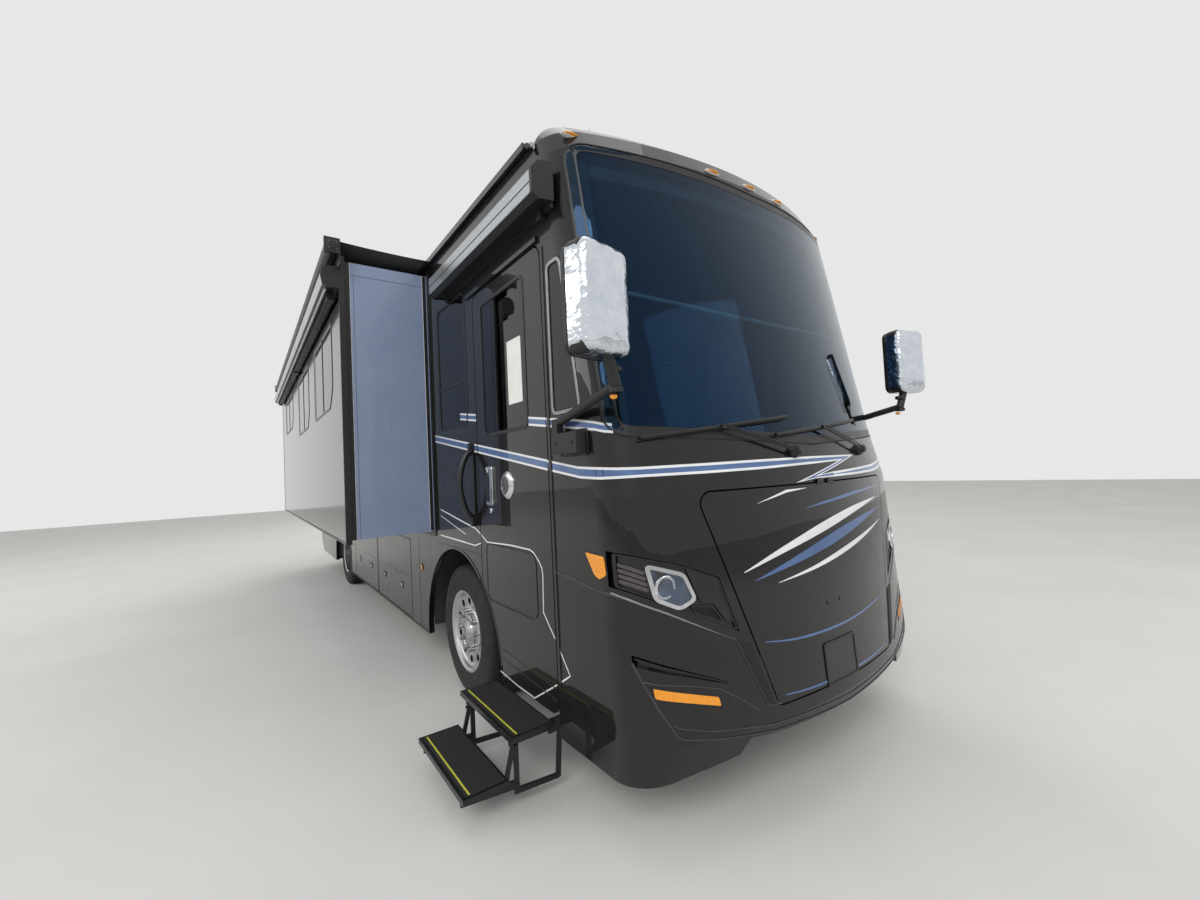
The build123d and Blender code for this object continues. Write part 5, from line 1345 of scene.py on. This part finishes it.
def addSkirtDress():
    # wheel arch lips, rub strip between body and skirt, joints, liners that close the arches
    for side, name in sides:
        put = onSide(side)
        for axle in coach["axles"]:
            low = 0.302
            start = asin((0.37 - low) / 0.75)
            arc = [(axle + 0.75 * cos(a), 0.37 + 0.75 * sin(a))
                   for a in (-start + (pi + 2 * start) * k / 40 for k in range(41))]
            if side < 0 and axle < 3:
                # the door's hinge side ends at the arch, so the lip stays on the skirt behind the door
                arc = [point for point in arc if point[0] > 1.845]
            addLine(arc, 0.016, put, -0.006, 0.0045, step=0.05)
        runs = [(1.846, 2.735)] if side < 0 else [(0.892, 3.17)]
        for s0, s1 in runs + [(9.465, 9.965)]:
            addLine([(s0, 1.124), (s1, 1.124)], 0.012, put, -0.002, 0.003, step=0.5)
        for s in (3.32, 6.86, 8.62):
            addLine([(s, 0.305), (s, 1.115)], 0.005, put, 0.0002, 0.0012, 1, step=0.5)
        addLine([(3.13, 0.309), (6.84, 0.309)], 0.014, put, 0.0002, 0.0035, 1, step=0.5)
        # small round side lamp and reflector near each end
        for s in (3.24, 9.6):
            base = put(s, 0.86, 0)
            addDisc(base, (side, 0, 0), [(-0.001, 0.026), (0.006, 0.025), (0.01, 0.017), (0.012, 0.002)],
                    24, 2)
            addLathe([(-0.001, 0.031), (0.006, 0.031), (0.006, 0.026), (-0.001, 0.026)], base, (side, 0, 0),
                     24, 1)
        finishPiece("skirt_trim_" + name, "coach", "wallPaint mouldedBlack amberLens", bevel=0.0012)

        for axle in coach["axles"]:
            rear = axle > 5
            last = pi - (0 if rear or side > 0 else 0.17)   # stops above the stowed step
            # the moulded liner and its ribs: from and to across, inner and outer radius
            bands = [(0.56 if rear else 0.62, half - 0.047, 0.741, 0.745)]
            bands += [(x - 0.008, x + 0.008, 0.738, 0.742) for x in (0.75, 0.9, 1.05)]
            for x0, x1, r0, r1 in bands:
                rings = []
                for k in range(33):
                    c, q = cos(last * k / 32), sin(last * k / 32)
                    rings.append([at(side * x, axle + r * c, 0.37 + r * q)
                                  for x, r in ((x0, r0), (x1, r0), (x1, r1), (x0, r1))])
                addLoft(rings)
        finishPiece("arch_liners_" + name, "coach", "mouldedBlack")


addBayDress()
addSkirtDress()
print("skirts and bays")


# Tyres with tread, and what shows behind the rims

tyre = {
    "radius": 0.49,
    "half": 0.1275,
    "bead": 0.2865,
    "steps": 216,
    "groove": 0.011,
    "grooves": (-0.05, -0.017, 0.017, 0.05),
    "grooveHalf": 0.0048,
    "sway": 0.0026,
    "lug": 6,
    "notch": 0.007,
}


def tyreRing(step):
    # one radial section: (along, radius) from the inner bead over the tread to the outer bead
    r, w = tyre["radius"], tyre["half"]
    beat = step % tyre["lug"]
    notch = tyre["notch"] if beat in (0, 1) else 0
    sway = tyre["sway"] * (1 if step % 12 < 6 else -1)
    sideWall = [(w - 0.025, tyre["bead"]), (w - 0.019, 0.292), (w - 0.012, 0.3), (w - 0.0085, 0.306),
                (w - 0.0045, 0.3105), (w - 0.006, 0.316), (w - 0.0015, 0.34), (w - 0.0003, 0.365),
                (w - 0.0022, 0.366), (w - 0.0022, 0.372), (w - 0.0003, 0.373), (w - 0.0006, 0.4),
                (w - 0.003, 0.418), (w - 0.0055, 0.424), (w - 0.004, 0.43), (w - 0.009, 0.448),
                (w - 0.017, 0.466 - notch * 0.4), (w - 0.0285, 0.4835 - notch),
                (w - 0.044, r - 0.0004 - notch)]
    tread = []
    g = tyre["grooveHalf"]
    for middle in reversed(tyre["grooves"]):
        m = middle + sway
        tread += [(m + g, r), (m + g * 0.7, r - tyre["groove"]), (m - g * 0.7, r - tyre["groove"]),
                  (m - g, r)]
    mirroredWall = [(-a, q) for a, q in reversed(sideWall)]
    return sideWall + tread + mirroredWall


def addTyre(x, station):
    centre = at(x, station, coach["hub"])
    rings = []
    for step, angle in enumerate(turns(tyre["steps"])):
        out = Vector((0, cos(angle), sin(angle)))
        rings.append([centre + out * r + Vector((a, 0, 0)) for a, r in tyreRing(step)])
    addLoft(rings, 0, around=True)


def addWheels():
    front, rear = coach["axles"]
    inner = coach["wheelX"] - coach["dualSpacing"]
    for side, name in sides:
        addTyre(side * coach["wheelX"], front)
        finishPiece("tyre_front_" + name, "front_wheel_" + name, "tyreRubber", angle=40,
                    replaces=("front_tyre_" + name,))
        addTyre(side * coach["wheelX"], rear)
        addTyre(side * inner, rear)
        finishPiece("tyres_rear_" + name, "rear_wheel_" + name, "tyreRubber", angle=40,
                    replaces=("rear_tyres_" + name,))

        # brake disc and its hat behind the front disc wheel, hub cap, valve and turned rings on the face
        centre = at(side * coach["wheelX"], front, coach["hub"])
        axis = (side, 0, 0)
        for a in (-0.082, -0.062):
            addLathe([(a, 0.13), (a, 0.222), (a + 0.012, 0.222), (a + 0.012, 0.13)], centre, axis, 64)
        addLathe([(-0.082, 0.128), (-0.082, 0.136), (0.012, 0.118), (0.012, 0.106), (-0.044, 0.112)],
                 centre, axis, 64)
        for angle in turns(24):
            out = Vector((0, cos(angle), sin(angle)))
            addTube([centre + out * r + Vector((side * -0.066, 0, 0)) for r in (0.14, 0.218)], 0.0055, 6)
        finishPiece("brake_disc_" + name, "front_wheel_" + name, "castIron", bevel=0.001)
        addDisc(centre, axis,
                [(0.1075, 0.06), (0.1105, 0.058), (0.112, 0.048), (0.112, 0.03), (0.1135, 0.027),
                 (0.1135, 0.002)], 40)
        for radius, lift in ((0.184, 0.08), (0.252, 0.087)):
            addLathe([(lift, radius - 0.0025), (lift + 0.0022, radius), (lift, radius + 0.0025),
                      (lift - 0.003, radius)], centre, axis, 72)
        valve = centre + Vector((side * 0.082, 0.236 * cos(2.2), 0.236 * sin(2.2)))
        addTube([valve + Vector((side * a, 0, 0)) for a in (0, 0.02, 0.034)], [0.005, 0.0045, 0.004])
        finishPiece("hub_cap_" + name, "front_wheel_" + name, "chrome", bevel=0.0006)
        middle = at(side * (coach["wheelX"] - coach["dualSpacing"] / 2), rear, coach["hub"])
        addDisc(middle, axis, [(0.1575, 0.056), (0.16, 0.052), (0.1612, 0.03), (0.1615, 0.002)], 40)
        addLathe([(0.1225, 0.07), (0.126, 0.074), (0.1225, 0.078), (0.12, 0.074)], middle, axis, 48)
        finishPiece("rear_hub_cap_" + name, "rear_wheel_" + name, "chrome", bevel=0.0006)


addWheels()
print("wheels")


# Roof: air conditioner shrouds' seams and grilles, vent lid, gutters' joints, front and rear seams

def addRoofDress():
    # cap seams: rubber joints between the caps and the middle of the body
    for s in (coach["frontSeam"], coach["rearSeam"]):
        for side in (-1, 1):
            put = onSide(side)
            if side > 0 or s > 5:
                addLine([(s, 0.55 if s > 5 else 0.31), (s, 3.425)], 0.006, put, -0.001, 0.0012, step=1)
    finishPiece("cap_seams", "coach", "sealRubber")
    for s in (3.3, 7.2):
        base = rounded(-0.372, 0.372, s - 0.522, s + 0.522, 0.1, 5)
        addLoop(base, onTop(3.56), -0.004, 0.012, -0.03, 0.012, 1, step=0.2)
        # top pressings and a slatted outlet
        for i in range(-2, 3):
            addTrims([(-0.014, 0.014, -0.42, 0.02, 0.012, -0.002, 0.0005, 0)], onTop(3.7845), 0.105 * i, s)
        for i in range(9):
            low = s + 0.1 + 0.034 * i
            addPlate(rounded(-0.22, 0.22, low, low + 0.014, 0.005, 2), onTop(3.7845), -0.002, 0.0005, 1)
    addTrims([(0.296, 0.704, 5.096, 5.504, 0.02, -0.012, 0, -0.03, -0.0005, 0),
              (0.33, 0.67, 5.13, 5.47, 0.02, -0.008, 0, -0.001, 0.006, 0),
              (0.34, 0.66, 5.14, 5.46, 0.03, -0.001, 0.009, 0)], onTop(3.64))
    finishPiece("roof_fittings", "coach", "whitePlastic mouldedBlack", bevel=0.003)
    # thin whip aerial beside the front lamps, within the body's box
    foot = at(-0.74, 1.02, 3.535)
    addDisc(foot, (0, 0, 1), [(0, 0.024), (0.012, 0.022), (0.022, 0.012), (0.03, 0.006)], 20)
    whip = ((0, 0, 0.028), (-0.004, 0, 0.13), (-0.016, 0.004, 0.24))
    addTube([foot + Vector(point) for point in whip], [0.0035, 0.0028, 0.0018], 8)
    finishPiece("whip_aerial", "coach", "satinBlack")


addRoofDress()
print("roof")


# Rear: grille frame, plain number plate place, reflectors, camera pod, exhaust tip and mud flap

def addRearDress():
    end = coach["length"]
    put = lambda x, z, lift: at(x, end - 0.04 + 0.02 * min(max((z - 0.48) / 1.06, 0), 1) + lift, z)
    addTrims([(-0.62, 0.62, 1.09, 1.38, 0.03, -0.004, 0.018, -0.004, 0.006, 0),
              (-0.838, 0.838, 0.652, 1.448, 0.045, -0.006, 0, -0.001, 0.002, 1)], put, step=0.2)
    addTrims([(-0.18, 0.18, 0.78, 0.92, 0.014, -0.014, 0, -0.001, 0.006, 0),
              (-0.168, 0.168, 0.792, 0.908, 0.008, -0.001, 0.002, 1)], put)
    for x in (-0.6, 0.6):
        addTrims([(-0.045, 0.045, 0.7, 0.75, 0.01, -0.008, 0, -0.001, 0.005, 0),
                  (-0.03, 0.03, 0.708, 0.734, 0.01, -0.001, 0.009, 2)], put, x)
    finishPiece("engine_door_fittings", "engine_lid",
                "satinBlack charcoalPaint chrome", bevel=0.0015)
    for side in (-1, 1):
        x0, x1 = sorted((side * 0.93, side * 1.06))
        reflector = rounded(x0, x1, 0.7, 0.745, 0.008)
        addPlate(reflector, put, -0.001, 0.006, 1)
        addLoop(reflector, put, 0, 0.008, -0.001, 0.004)
    # the belt line wraps round both corners of the tail, level across the back
    corner = 0.12
    arc = corner * pi / 2

    def roundTail(u, z, lift):
        tailPlace = end - 0.02 - 0.04 * (z - 1.8) / 1.52
        way, flat, side = abs(u), half - corner, -1 if u < 0 else 1
        if way <= flat:
            return at(u, tailPlace + lift, z)
        if way <= flat + arc:
            angle = (way - flat) / corner
            return at(side * (flat + (corner + lift) * sin(angle)),
                      tailPlace - corner + (corner + lift) * cos(angle), z)
        return at(side * (half + lift), tailPlace - corner - (way - flat - arc), z)

    reach = half - corner + arc + end - 0.052 - corner - coach["rearSeam"]
    height, edge = stripes["bandHeight"], stripes["edge"]
    flat = half - corner
    rows = [(0, bandLow(10.22)), (flat, bandLow(10.22)), (flat + arc, bandLow(10.19)),
            (reach, bandLow(coach["rearSeam"]))]
    rows = [(-u, z) for u, z in rows[:0:-1]] + rows
    for low, high, tone, lift in ((0, height, 3, 0), (0, edge, 4, 0.0003),
                                  (height - edge, height, 4, 0.0003)):
        near, far = [(u, z + low) for u, z in rows], [(u, z + high) for u, z in rows]
        addRibbon(near, far, roundTail, 0.0003, 0.0012 + lift, tone, step=0.04)
    upper = lambda x, z, lift: at(x, end - 0.02 - 0.04 * (z - 1.8) / 1.52 + lift, z)
    addTrims([(-0.66, 0.66, 2.12, 2.86, 0.09, -0.012, 0, -0.001, 0.0035, 0),
              (-0.646, 0.646, 2.134, 2.846, 0.08, -0.001, 0.002, 5)], upper, step=0.3)
    # camera pod and high brake lamp
    addBlock(-0.055, 0.055, end - 0.072, end - 0.02, 3.2, 3.262)
    addDisc(at(0, end - 0.022, 3.225), (0, 1, -0.4),
            [(-0.01, 0.02), (0.006, 0.018), (0.009, 0.012), (0.01, 0.001)], 20, 2)
    addPlate(rounded(-0.2, 0.2, 3.288, 3.312, 0.01), upper, -0.001, 0.01, 1)
    finishPiece("rear_dress", "coach",
                "satinBlack redLens lampGrey stripeBlue stripeWhite darkPane", bevel=0.0015)
    # exhaust with a turned-down tip, and the rear flap
    pipe = [(9.55, 0.66), (9.8, 0.6), (10.02, 0.52), (10.18, 0.475), (10.27, 0.455)]
    addTube([at(0.62, s, z) for s, z in pipe], [0.05, 0.05, 0.05, 0.05, 0.052], 20)
    addBlock(0.6, 0.64, 9.86, 9.9, 0.62, 0.85)
    finishPiece("exhaust", "coach", "zincSteel", bevel=0.002)
    for side in (-1, 1):
        x0, x1 = sorted((side * 0.62, side * 1.17))
        addBlock(x0, x1, 8.475, 8.485, 0.3, 0.74)
        addBlock(x0 - 0.002, x1 + 0.002, 8.468, 8.492, 0.7, 0.735, 1)
    finishPiece("mud_flaps", "coach", "sealRubber zincSteel", bevel=0.002)


addRearDress()
print("rear")


# Cab: padded chairs, dash instruments, steering wheel grip, cabinet doors, floor covering

chairs = [
    {"name": "driver", "body": "driver_chair", "x": 0.62, "station": 1.75, "node": "seat_driver"},
    {"name": "passenger", "body": "passenger_chair", "x": -0.56, "station": 2.25, "node": "seat_passenger"},
]
chairSizes = {
    "seat": (0.516, 0.496, 0.136),
    "seatRise": 0.33,
    "back": (0.496, 0.116, 0.736),
    "backRise": 0.7,
    "backShift": 0.25,
    "tilt": -8,
    "voxel": 0.013,
    "pressure": 4,
    "cap": 0.012,
    "channel": 0.009,
    "channelWidth": 0.01,
}


def padForm(size, corner=0.045):
    # a block with rounded edges, the start of a pad
    form = bmesh.new()
    bmesh.ops.create_cube(form, size=1)
    bmesh.ops.subdivide_edges(form, edges=form.edges[:], cuts=9, use_grid_fill=True)
    limit = Vector(size) / 2
    for vert in form.verts:
        p = Vector((vert.co.x * size[0], vert.co.y * size[1], vert.co.z * size[2]))
        core = Vector([max(-limit[k] + corner, min(limit[k] - corner, p[k])) for k in range(3)])
        out = p - core
        if out.length > 1e-6:
            p = core + out.normalized() * min(out.length, corner)
        vert.co = p
    return form


def simulatePad(piece):
    # the pad is blown up a little by cloth pressure, then held to a small movement and kept as a mesh
    start = [vert.co.copy() for vert in piece.data.vertices]
    cloth = piece.modifiers.new("cloth", "CLOTH")
    cloth.settings.use_pressure = True
    cloth.settings.uniform_pressure_force = chairSizes["pressure"]
    cloth.settings.effector_weights.gravity = 0
    cloth.settings.quality = 4
    cloth.point_cache.frame_start, cloth.point_cache.frame_end = 1, 20
    scene = bpy.context.scene
    for number in range(1, 21):
        scene.frame_set(number)
    result = piece.evaluated_get(bpy.context.evaluated_depsgraph_get()).to_mesh()
    moved = [vert.co.copy() for vert in result.vertices]
    piece.evaluated_get(bpy.context.evaluated_depsgraph_get()).to_mesh_clear()
    piece.modifiers.remove(cloth)
    for vert, before, after in zip(piece.data.vertices, start, moved):
        step = after - before
        if step.length > chairSizes["cap"]:
            step = step.normalized() * chairSizes["cap"]
        vert.co = before + step
    scene.frame_set(1)


def applyModifiers(piece):
    depsgraph = bpy.context.evaluated_depsgraph_get()
    mesh = bpy.data.meshes.new_from_object(piece.evaluated_get(depsgraph))
    piece.modifiers.clear()
    piece.data = mesh


def addPad(name, size, channels, place):
    form = padForm(size)
    mesh = bpy.data.meshes.new(name)
    form.to_mesh(mesh)
    form.free()
    piece = bpy.data.objects.new(name, mesh)
    bpy.context.scene.collection.objects.link(piece)
    voxels = piece.modifiers.new("voxels", "REMESH")
    voxels.mode = "VOXEL"
    voxels.voxel_size = chairSizes["voxel"]
    applyModifiers(piece)
    simulatePad(piece)
    smooth = piece.modifiers.new("smooth", "SUBSURF")
    smooth.levels = smooth.render_levels = 1
    applyModifiers(piece)
    # sewn channels pull the cover in along planes: axis, place, from and to across the other axis
    width = chairSizes["channelWidth"]
    steps = []
    for vert in piece.data.vertices:
        pull = 0
        for axis, middle, other, low, high in channels:
            if low <= vert.co[other] <= high:
                pull = max(pull, exp(-((vert.co[axis] - middle) / width) ** 2))
        steps.append(vert.normal * pull * chairSizes["channel"])
    for vert, step in zip(piece.data.vertices, steps):
        vert.co -= step
    piece.data.transform(place)
    piece.data.materials.append(finishes["leather"])
    piece.data.shade_smooth()
    return piece


def addChair(chair):
    x, s = chair["x"], chair["station"]
    seat, back = chairSizes["seat"], chairSizes["back"]
    place = Matrix.Translation((x, yOf(s), coach["deck"] + chairSizes["seatRise"]))
    channels = [(0, -0.15, 1, -0.2, 0.21), (0, 0.15, 1, -0.2, 0.21), (1, -0.05, 0, -0.15, 0.15),
                (1, 0.08, 0, -0.15, 0.15)]
    cushion = addPad("chair_cushion_" + chair["name"], seat, channels, place)
    tilt = Matrix.Rotation(radians(chairSizes["tilt"]), 4, "X")
    place = Matrix.Translation((x, yOf(s + chairSizes["backShift"]),
                                coach["deck"] + chairSizes["backRise"])) @ tilt
    channels = [(0, -0.14, 2, -0.3, 0.18), (0, 0.14, 2, -0.3, 0.18), (2, -0.1, 0, -0.14, 0.14),
                (2, 0.04, 0, -0.14, 0.14), (2, 0.2, 0, -0.25, 0.25)]
    rest = addPad("chair_back_" + chair["name"], back, channels, place)
    for pad in (cushion, rest):
        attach(pad, chair["body"])
    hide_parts(chair["node"])
    # swivel base, slide rails, armrests and their pivots
    foot = at(x, s, coach["deck"])
    addDisc(foot, (0, 0, 1),
            [(0, 0.12), (0.012, 0.12), (0.02, 0.112), (0.03, 0.085), (0.19, 0.075), (0.2, 0.11),
             (0.214, 0.112)], 40)
    for a in (-0.16, 0.16):
        addBox(foot + Vector((a - 0.018, -0.22, 0.212)), foot + Vector((a + 0.018, 0.22, 0.262)))
    addBox(foot + Vector((-0.2, -0.2, 0.24)), foot + Vector((0.2, 0.2, 0.268)))
    for side in (-1, 1):
        arm = foot + Vector((side * 0.275, 0, 0.56))
        outline = rounded(-0.17, 0.2, -0.024, 0.024, 0.022, 5)
        flat = lambda a, b, lift, arm=arm, side=side: arm + Vector((side * lift, a, b))
        addPlate(outline, flat, -0.022, 0.026, 1)
        addDisc(arm + Vector((side * 0.026, 0.165, 0)), (side, 0, 0),
                [(0, 0.018), (0.004, 0.017), (0.006, 0.002)], 20)
        post = arm + Vector((-side * 0.03, 0.17, 0))
        addBox(post - Vector((0.012, 0.02, 0.03)), post + Vector((0.012, 0.02, 0.03)))
    finishPiece("chair_base_" + chair["name"], chair["body"], "satinBlack leather", bevel=0.006,
                segments=3)


def addCab():
    # instrument hood, dials, vents, blank screen and shelf edge: 0 vinyl, 1 black, 2 glass, 3 wood
    hood = [(0.7, 1.765), (0.8, 1.7), (0.905, 1.56), (0.925, 1.59), (0.84, 1.74), (0.72, 1.815)]
    addLoft([[at(x, s, z) for s, z in hood] for x in (0.38, 0.86)])
    face = lambda a, b, lift: Vector((a, yOf(0.83 - 0.32 * (b - 1.62) + lift), b))
    addTrims([(0.4, 0.84, 1.56, 1.7, 0.03, -0.004, 0.01, 1)], face)
    for x, r in ((0.49, 0.048), (0.62, 0.052), (0.75, 0.048)):
        addLathe([(0.008, r), (0.016, r), (0.016, r - 0.006), (0.008, r - 0.006)], face(x, 1.632, 0),
                 (0, 1, 0.3), 32, 3)
        addDisc(face(x, 1.632, 0), (0, 1, 0.3),
                [(0.008, r - 0.006), (0.012, r - 0.007), (0.0125, 0.004)], 32, 1)
        angle = 2.4 - x
        tip = face(x + 0.8 * r * cos(angle), 1.632 + 0.8 * r * sin(angle), 0.02)
        addTube([face(x, 1.632, 0.02), tip], [0.0022, 0.0008], 6, 3)
    addTrims([(0.05, 0.31, 1.56, 1.7, 0.012, -0.004, 0.012, 1),
              (0.062, 0.298, 1.572, 1.688, 0.006, 0.011, 0.0135, 2)], face)
    for x in (-0.05, -0.95, 0.96):
        addLoop(rounded(x - 0.06, x + 0.06, 1.59, 1.66, 0.01), face, -0.006, 0, 0, 0.012, 1)
        for k in range(5):
            z = 1.6 + 0.0125 * k
            addLine([(x - 0.052, z), (x + 0.052, z)], 0.004, face, 0, 0.009, 1, step=1)
    addPlate(rounded(-0.88, -0.14, 1.45, 1.55, 0.02), lambda a, b, lift: at(a, 0.9 + lift, b), -0.002,
             0.008, 3)
    addBlock(-1.1, 1.1, 0.48, 0.5, 1.758, 1.774)
    finishPiece("dash_instruments", "coach", "vinylDark satinBlack glassShade cherryWood",
                bevel=0.003)

    # grip bands, thumb rests and horn pad of the steering wheel, in its own tilted plane
    tilt = Matrix.Translation((0.62, yOf(1.06), 1.83)) @ Matrix.Rotation(radians(-52), 4, "X")
    for k in range(3):
        middle = radians(60 + 120 * k)
        arc = [tilt @ Vector((0.22 * cos(a), 0.22 * sin(a), 0))
               for a in (middle - 0.75 + 1.5 * i / 24 for i in range(25))]
        addTube(arc, 0.0178, 14)
    horn = [(0, 0.066), (0.01, 0.064), (0.016, 0.05), (0.018, 0.004)]
    addDisc(tilt @ Vector((0, 0, 0.014)), tilt.to_3x3() @ Vector((0, 0, 1)), horn, 40, 1)
    finishPiece("steering_grip", "steering_column", "leather vinylDark")

    # cabinet doors with pulls, ceiling light strip and the floor's mat
    front = lambda a, b, lift: at(a, 1.15 + lift, b)
    for k in range(4):
        x0 = -0.88 + 0.445 * k
        addTrims([(0, 0.425, 2.975, 3.33, 0.01, 0, 0.018, 0),
                  (0.045, 0.38, 3.02, 3.285, 0.008, -0.006, 0, 0.016, 0.0215, 0)], front, x0)
        pull = ((0.16, 0.018), (0.17, 0.034), (0.255, 0.034), (0.265, 0.018))
        addTube([front(x0 + x, 3, lift) for x, lift in pull], 0.005, 8, 1)
    addBlock(-0.88, 0.88, 0.84, 1.14, 2.936, 2.95)
    for x in (-0.55, 0, 0.55):
        addDisc(at(x, 1, 2.936), (0, 0, -1),
                [(0, 0.034), (0.004, 0.032), (0.006, 0.022), (0.0065, 0.002)], 24, 2)
    finishPiece("cabinet_doors", "coach", "cherryWood chrome lampSilver", bevel=0.002)
    addPlate(rounded(-0.5, 1.1, 0.93, 3.1, 0.05), onTop(coach["deck"]), 0.0006, 0.007)
    for s in (1.3, 1.42, 1.54):
        addPlate(rounded(-1.165, -0.56, s - 0.4, s - 0.31, 0.01), onTop(0.825), 0.0003, 0.004, 1)
    finishPiece("cab_mat", "coach", "liner gritTread", bevel=0.002)


for chair in chairs:
    addChair(chair)
addCab()
print("cab")


# Under the floor: dampers, air springs' straps, propeller shaft and tank straps on the frame

def addUnderside():
    front, rear = coach["axles"]
    for side in (-1, 1):
        for s in (front - 0.22, rear - 0.26):
            low = at(side * 0.47, s, 0.455)
            high = at(side * 0.455, s + 0.02, 0.7)
            addTube([low, low.lerp(high, 0.5)], 0.032, 16)
            addTube([low.lerp(high, 0.5), high], 0.024, 16, 1)
            for end, reach in ((low, -0.08), (high, -0.05)):
                addTube([end + Vector((side * a, 0, 0)) for a in (reach, 0.02)], 0.013, 10, 1)
        for axle, z0, z1 in ((front, 0.5, 0.568), (rear, 0.34, 0.408)):
            for shift in (-0.055, 0.055):
                x0, x1 = sorted((side * 0.338, side * 0.427))
                strap = ((x0, z0 - 0.03), (x0, z1), (x1, z1), (x1, z0 - 0.03))
                addTube([at(x, axle + shift, z) for x, z in strap], 0.008, 8, 1)
    for s0 in (3.42, 3.98, 5.62, 6.32):
        addBlock(-0.362, 0.362, s0, s0 + 0.04, 0.553, 0.5598, 1)
        for side in (-1, 1):
            x0, x1 = sorted((side * 0.3552, side * 0.36))
            addBlock(x0, x1, s0, s0 + 0.04, 0.553, 0.64, 1)
    shaft = ((0.19, 0.5), (0.4, 0.545), (0.702, 0.6))
    addTube([at(0, rear + s, z) for s, z in shaft], 0.045, 20, 1)
    addDisc(at(0, rear + 0.14, 0.49), (0, 1, 0), [(0, 0.12), (0.05, 0.1), (0.07, 0.07), (0.08, 0.06)], 24)
    finishPiece("underbody_fittings", "coach", "frameBlack zincSteel", bevel=0.002)


addUnderside()
print("underside")


# Floor, light and camera

studio = {
    "floor": "#dddcd8",
    "floorSize": 60,
    "sky": 0.6,
    "backdrop": 0.8,
    "camera": (-2.529, -6.558, 1.675),
    "yaw": 0.6295,
    "pitch": 0.0368,
    "roll": -0.0486,
    "lens": 14.747,
}
# name, place, size across, size down, watts; every lamp looks at the middle of the coach
lamps = [
    ("keyLamp", (-9, -11, 9.5), 7, 5, 620),
    ("sideLamp", (-14, 3, 8), 12, 4, 420),
    ("frontLamp", (4, -13, 6), 6, 5, 260),
    ("backLamp", (8, 13, 9), 9, 5, 420),
    ("topLamp", (0, 0, 14), 8, 14, 260),
]


def addFloor():
    size = studio["floorSize"] / 2
    mesh = bpy.data.meshes.new("floor")
    mesh.from_pydata([(-size, -size, 0), (size, -size, 0), (size, size, 0), (-size, size, 0)], [],
                     [(0, 1, 2, 3)])
    mesh.materials.append(makeMaterial("floorPale", studio["floor"], "#d8d7d3", 1500, 0.82, 0.04))
    floor = bpy.data.objects.new("floor", mesh)
    bpy.context.scene.collection.objects.link(floor)


def addLamps():
    for name, place, across, down, watts in lamps:
        data = bpy.data.lights.new(name, "AREA")
        data.shape = "RECTANGLE"
        data.size, data.size_y, data.energy = across, down, watts
        lamp = bpy.data.objects.new(name, data)
        lamp.location = place
        lamp.rotation_euler = (Vector((0, 0, 1.5)) - Vector(place)).to_track_quat("-Z", "Y").to_euler()
        lamp.visible_glossy = name != "frontLamp"   # it would show as a hard pane in the windshield
        bpy.context.scene.collection.objects.link(lamp)


def addWorld():
    world = bpy.data.worlds.new("studio")
    bpy.context.scene.world = world
    world.use_nodes = True
    tree = world.node_tree
    # what the camera and the mirrors see is brighter than what lights the scene
    sight = addNode(tree, "LightPath", output="Is Camera Ray")
    for ray in ("Is Glossy Ray", "Is Transmission Ray"):
        sight = addNode(tree, "Math", {0: sight, 1: addNode(tree, "LightPath", output=ray)},
                        operation="MAXIMUM")
    strength = addNode(tree, "MapRange",
                       {"Value": sight, "To Min": studio["sky"], "To Max": studio["backdrop"]})
    tree.nodes["Background"].inputs["Color"].default_value = (1, 1, 1, 1)
    tree.links.new(strength, tree.nodes["Background"].inputs["Strength"])


def addCamera():
    data = bpy.data.cameras.new("photoCamera")
    data.lens = studio["lens"]
    data.sensor_width = 36
    cameraObject = bpy.data.objects.new("photoCamera", data)
    bpy.context.scene.collection.objects.link(cameraObject)
    yaw, pitch, roll = studio["yaw"], studio["pitch"], studio["roll"]
    forward = Vector((sin(yaw) * cos(pitch), cos(yaw) * cos(pitch), sin(pitch)))
    right = Vector((cos(yaw), -sin(yaw), 0))
    up = right.cross(forward)
    tiltedRight = right * cos(roll) + up * sin(roll)
    tiltedUp = up * cos(roll) - right * sin(roll)
    matrix = Matrix((tiltedRight, tiltedUp, -forward)).transposed().to_4x4()
    matrix.translation = Vector(studio["camera"])
    cameraObject.matrix_world = matrix
    bpy.context.scene.camera = cameraObject


addFloor()
addLamps()
addWorld()
addCamera()
bpy.context.scene.view_settings.view_transform = "Standard"
print("stage ready")
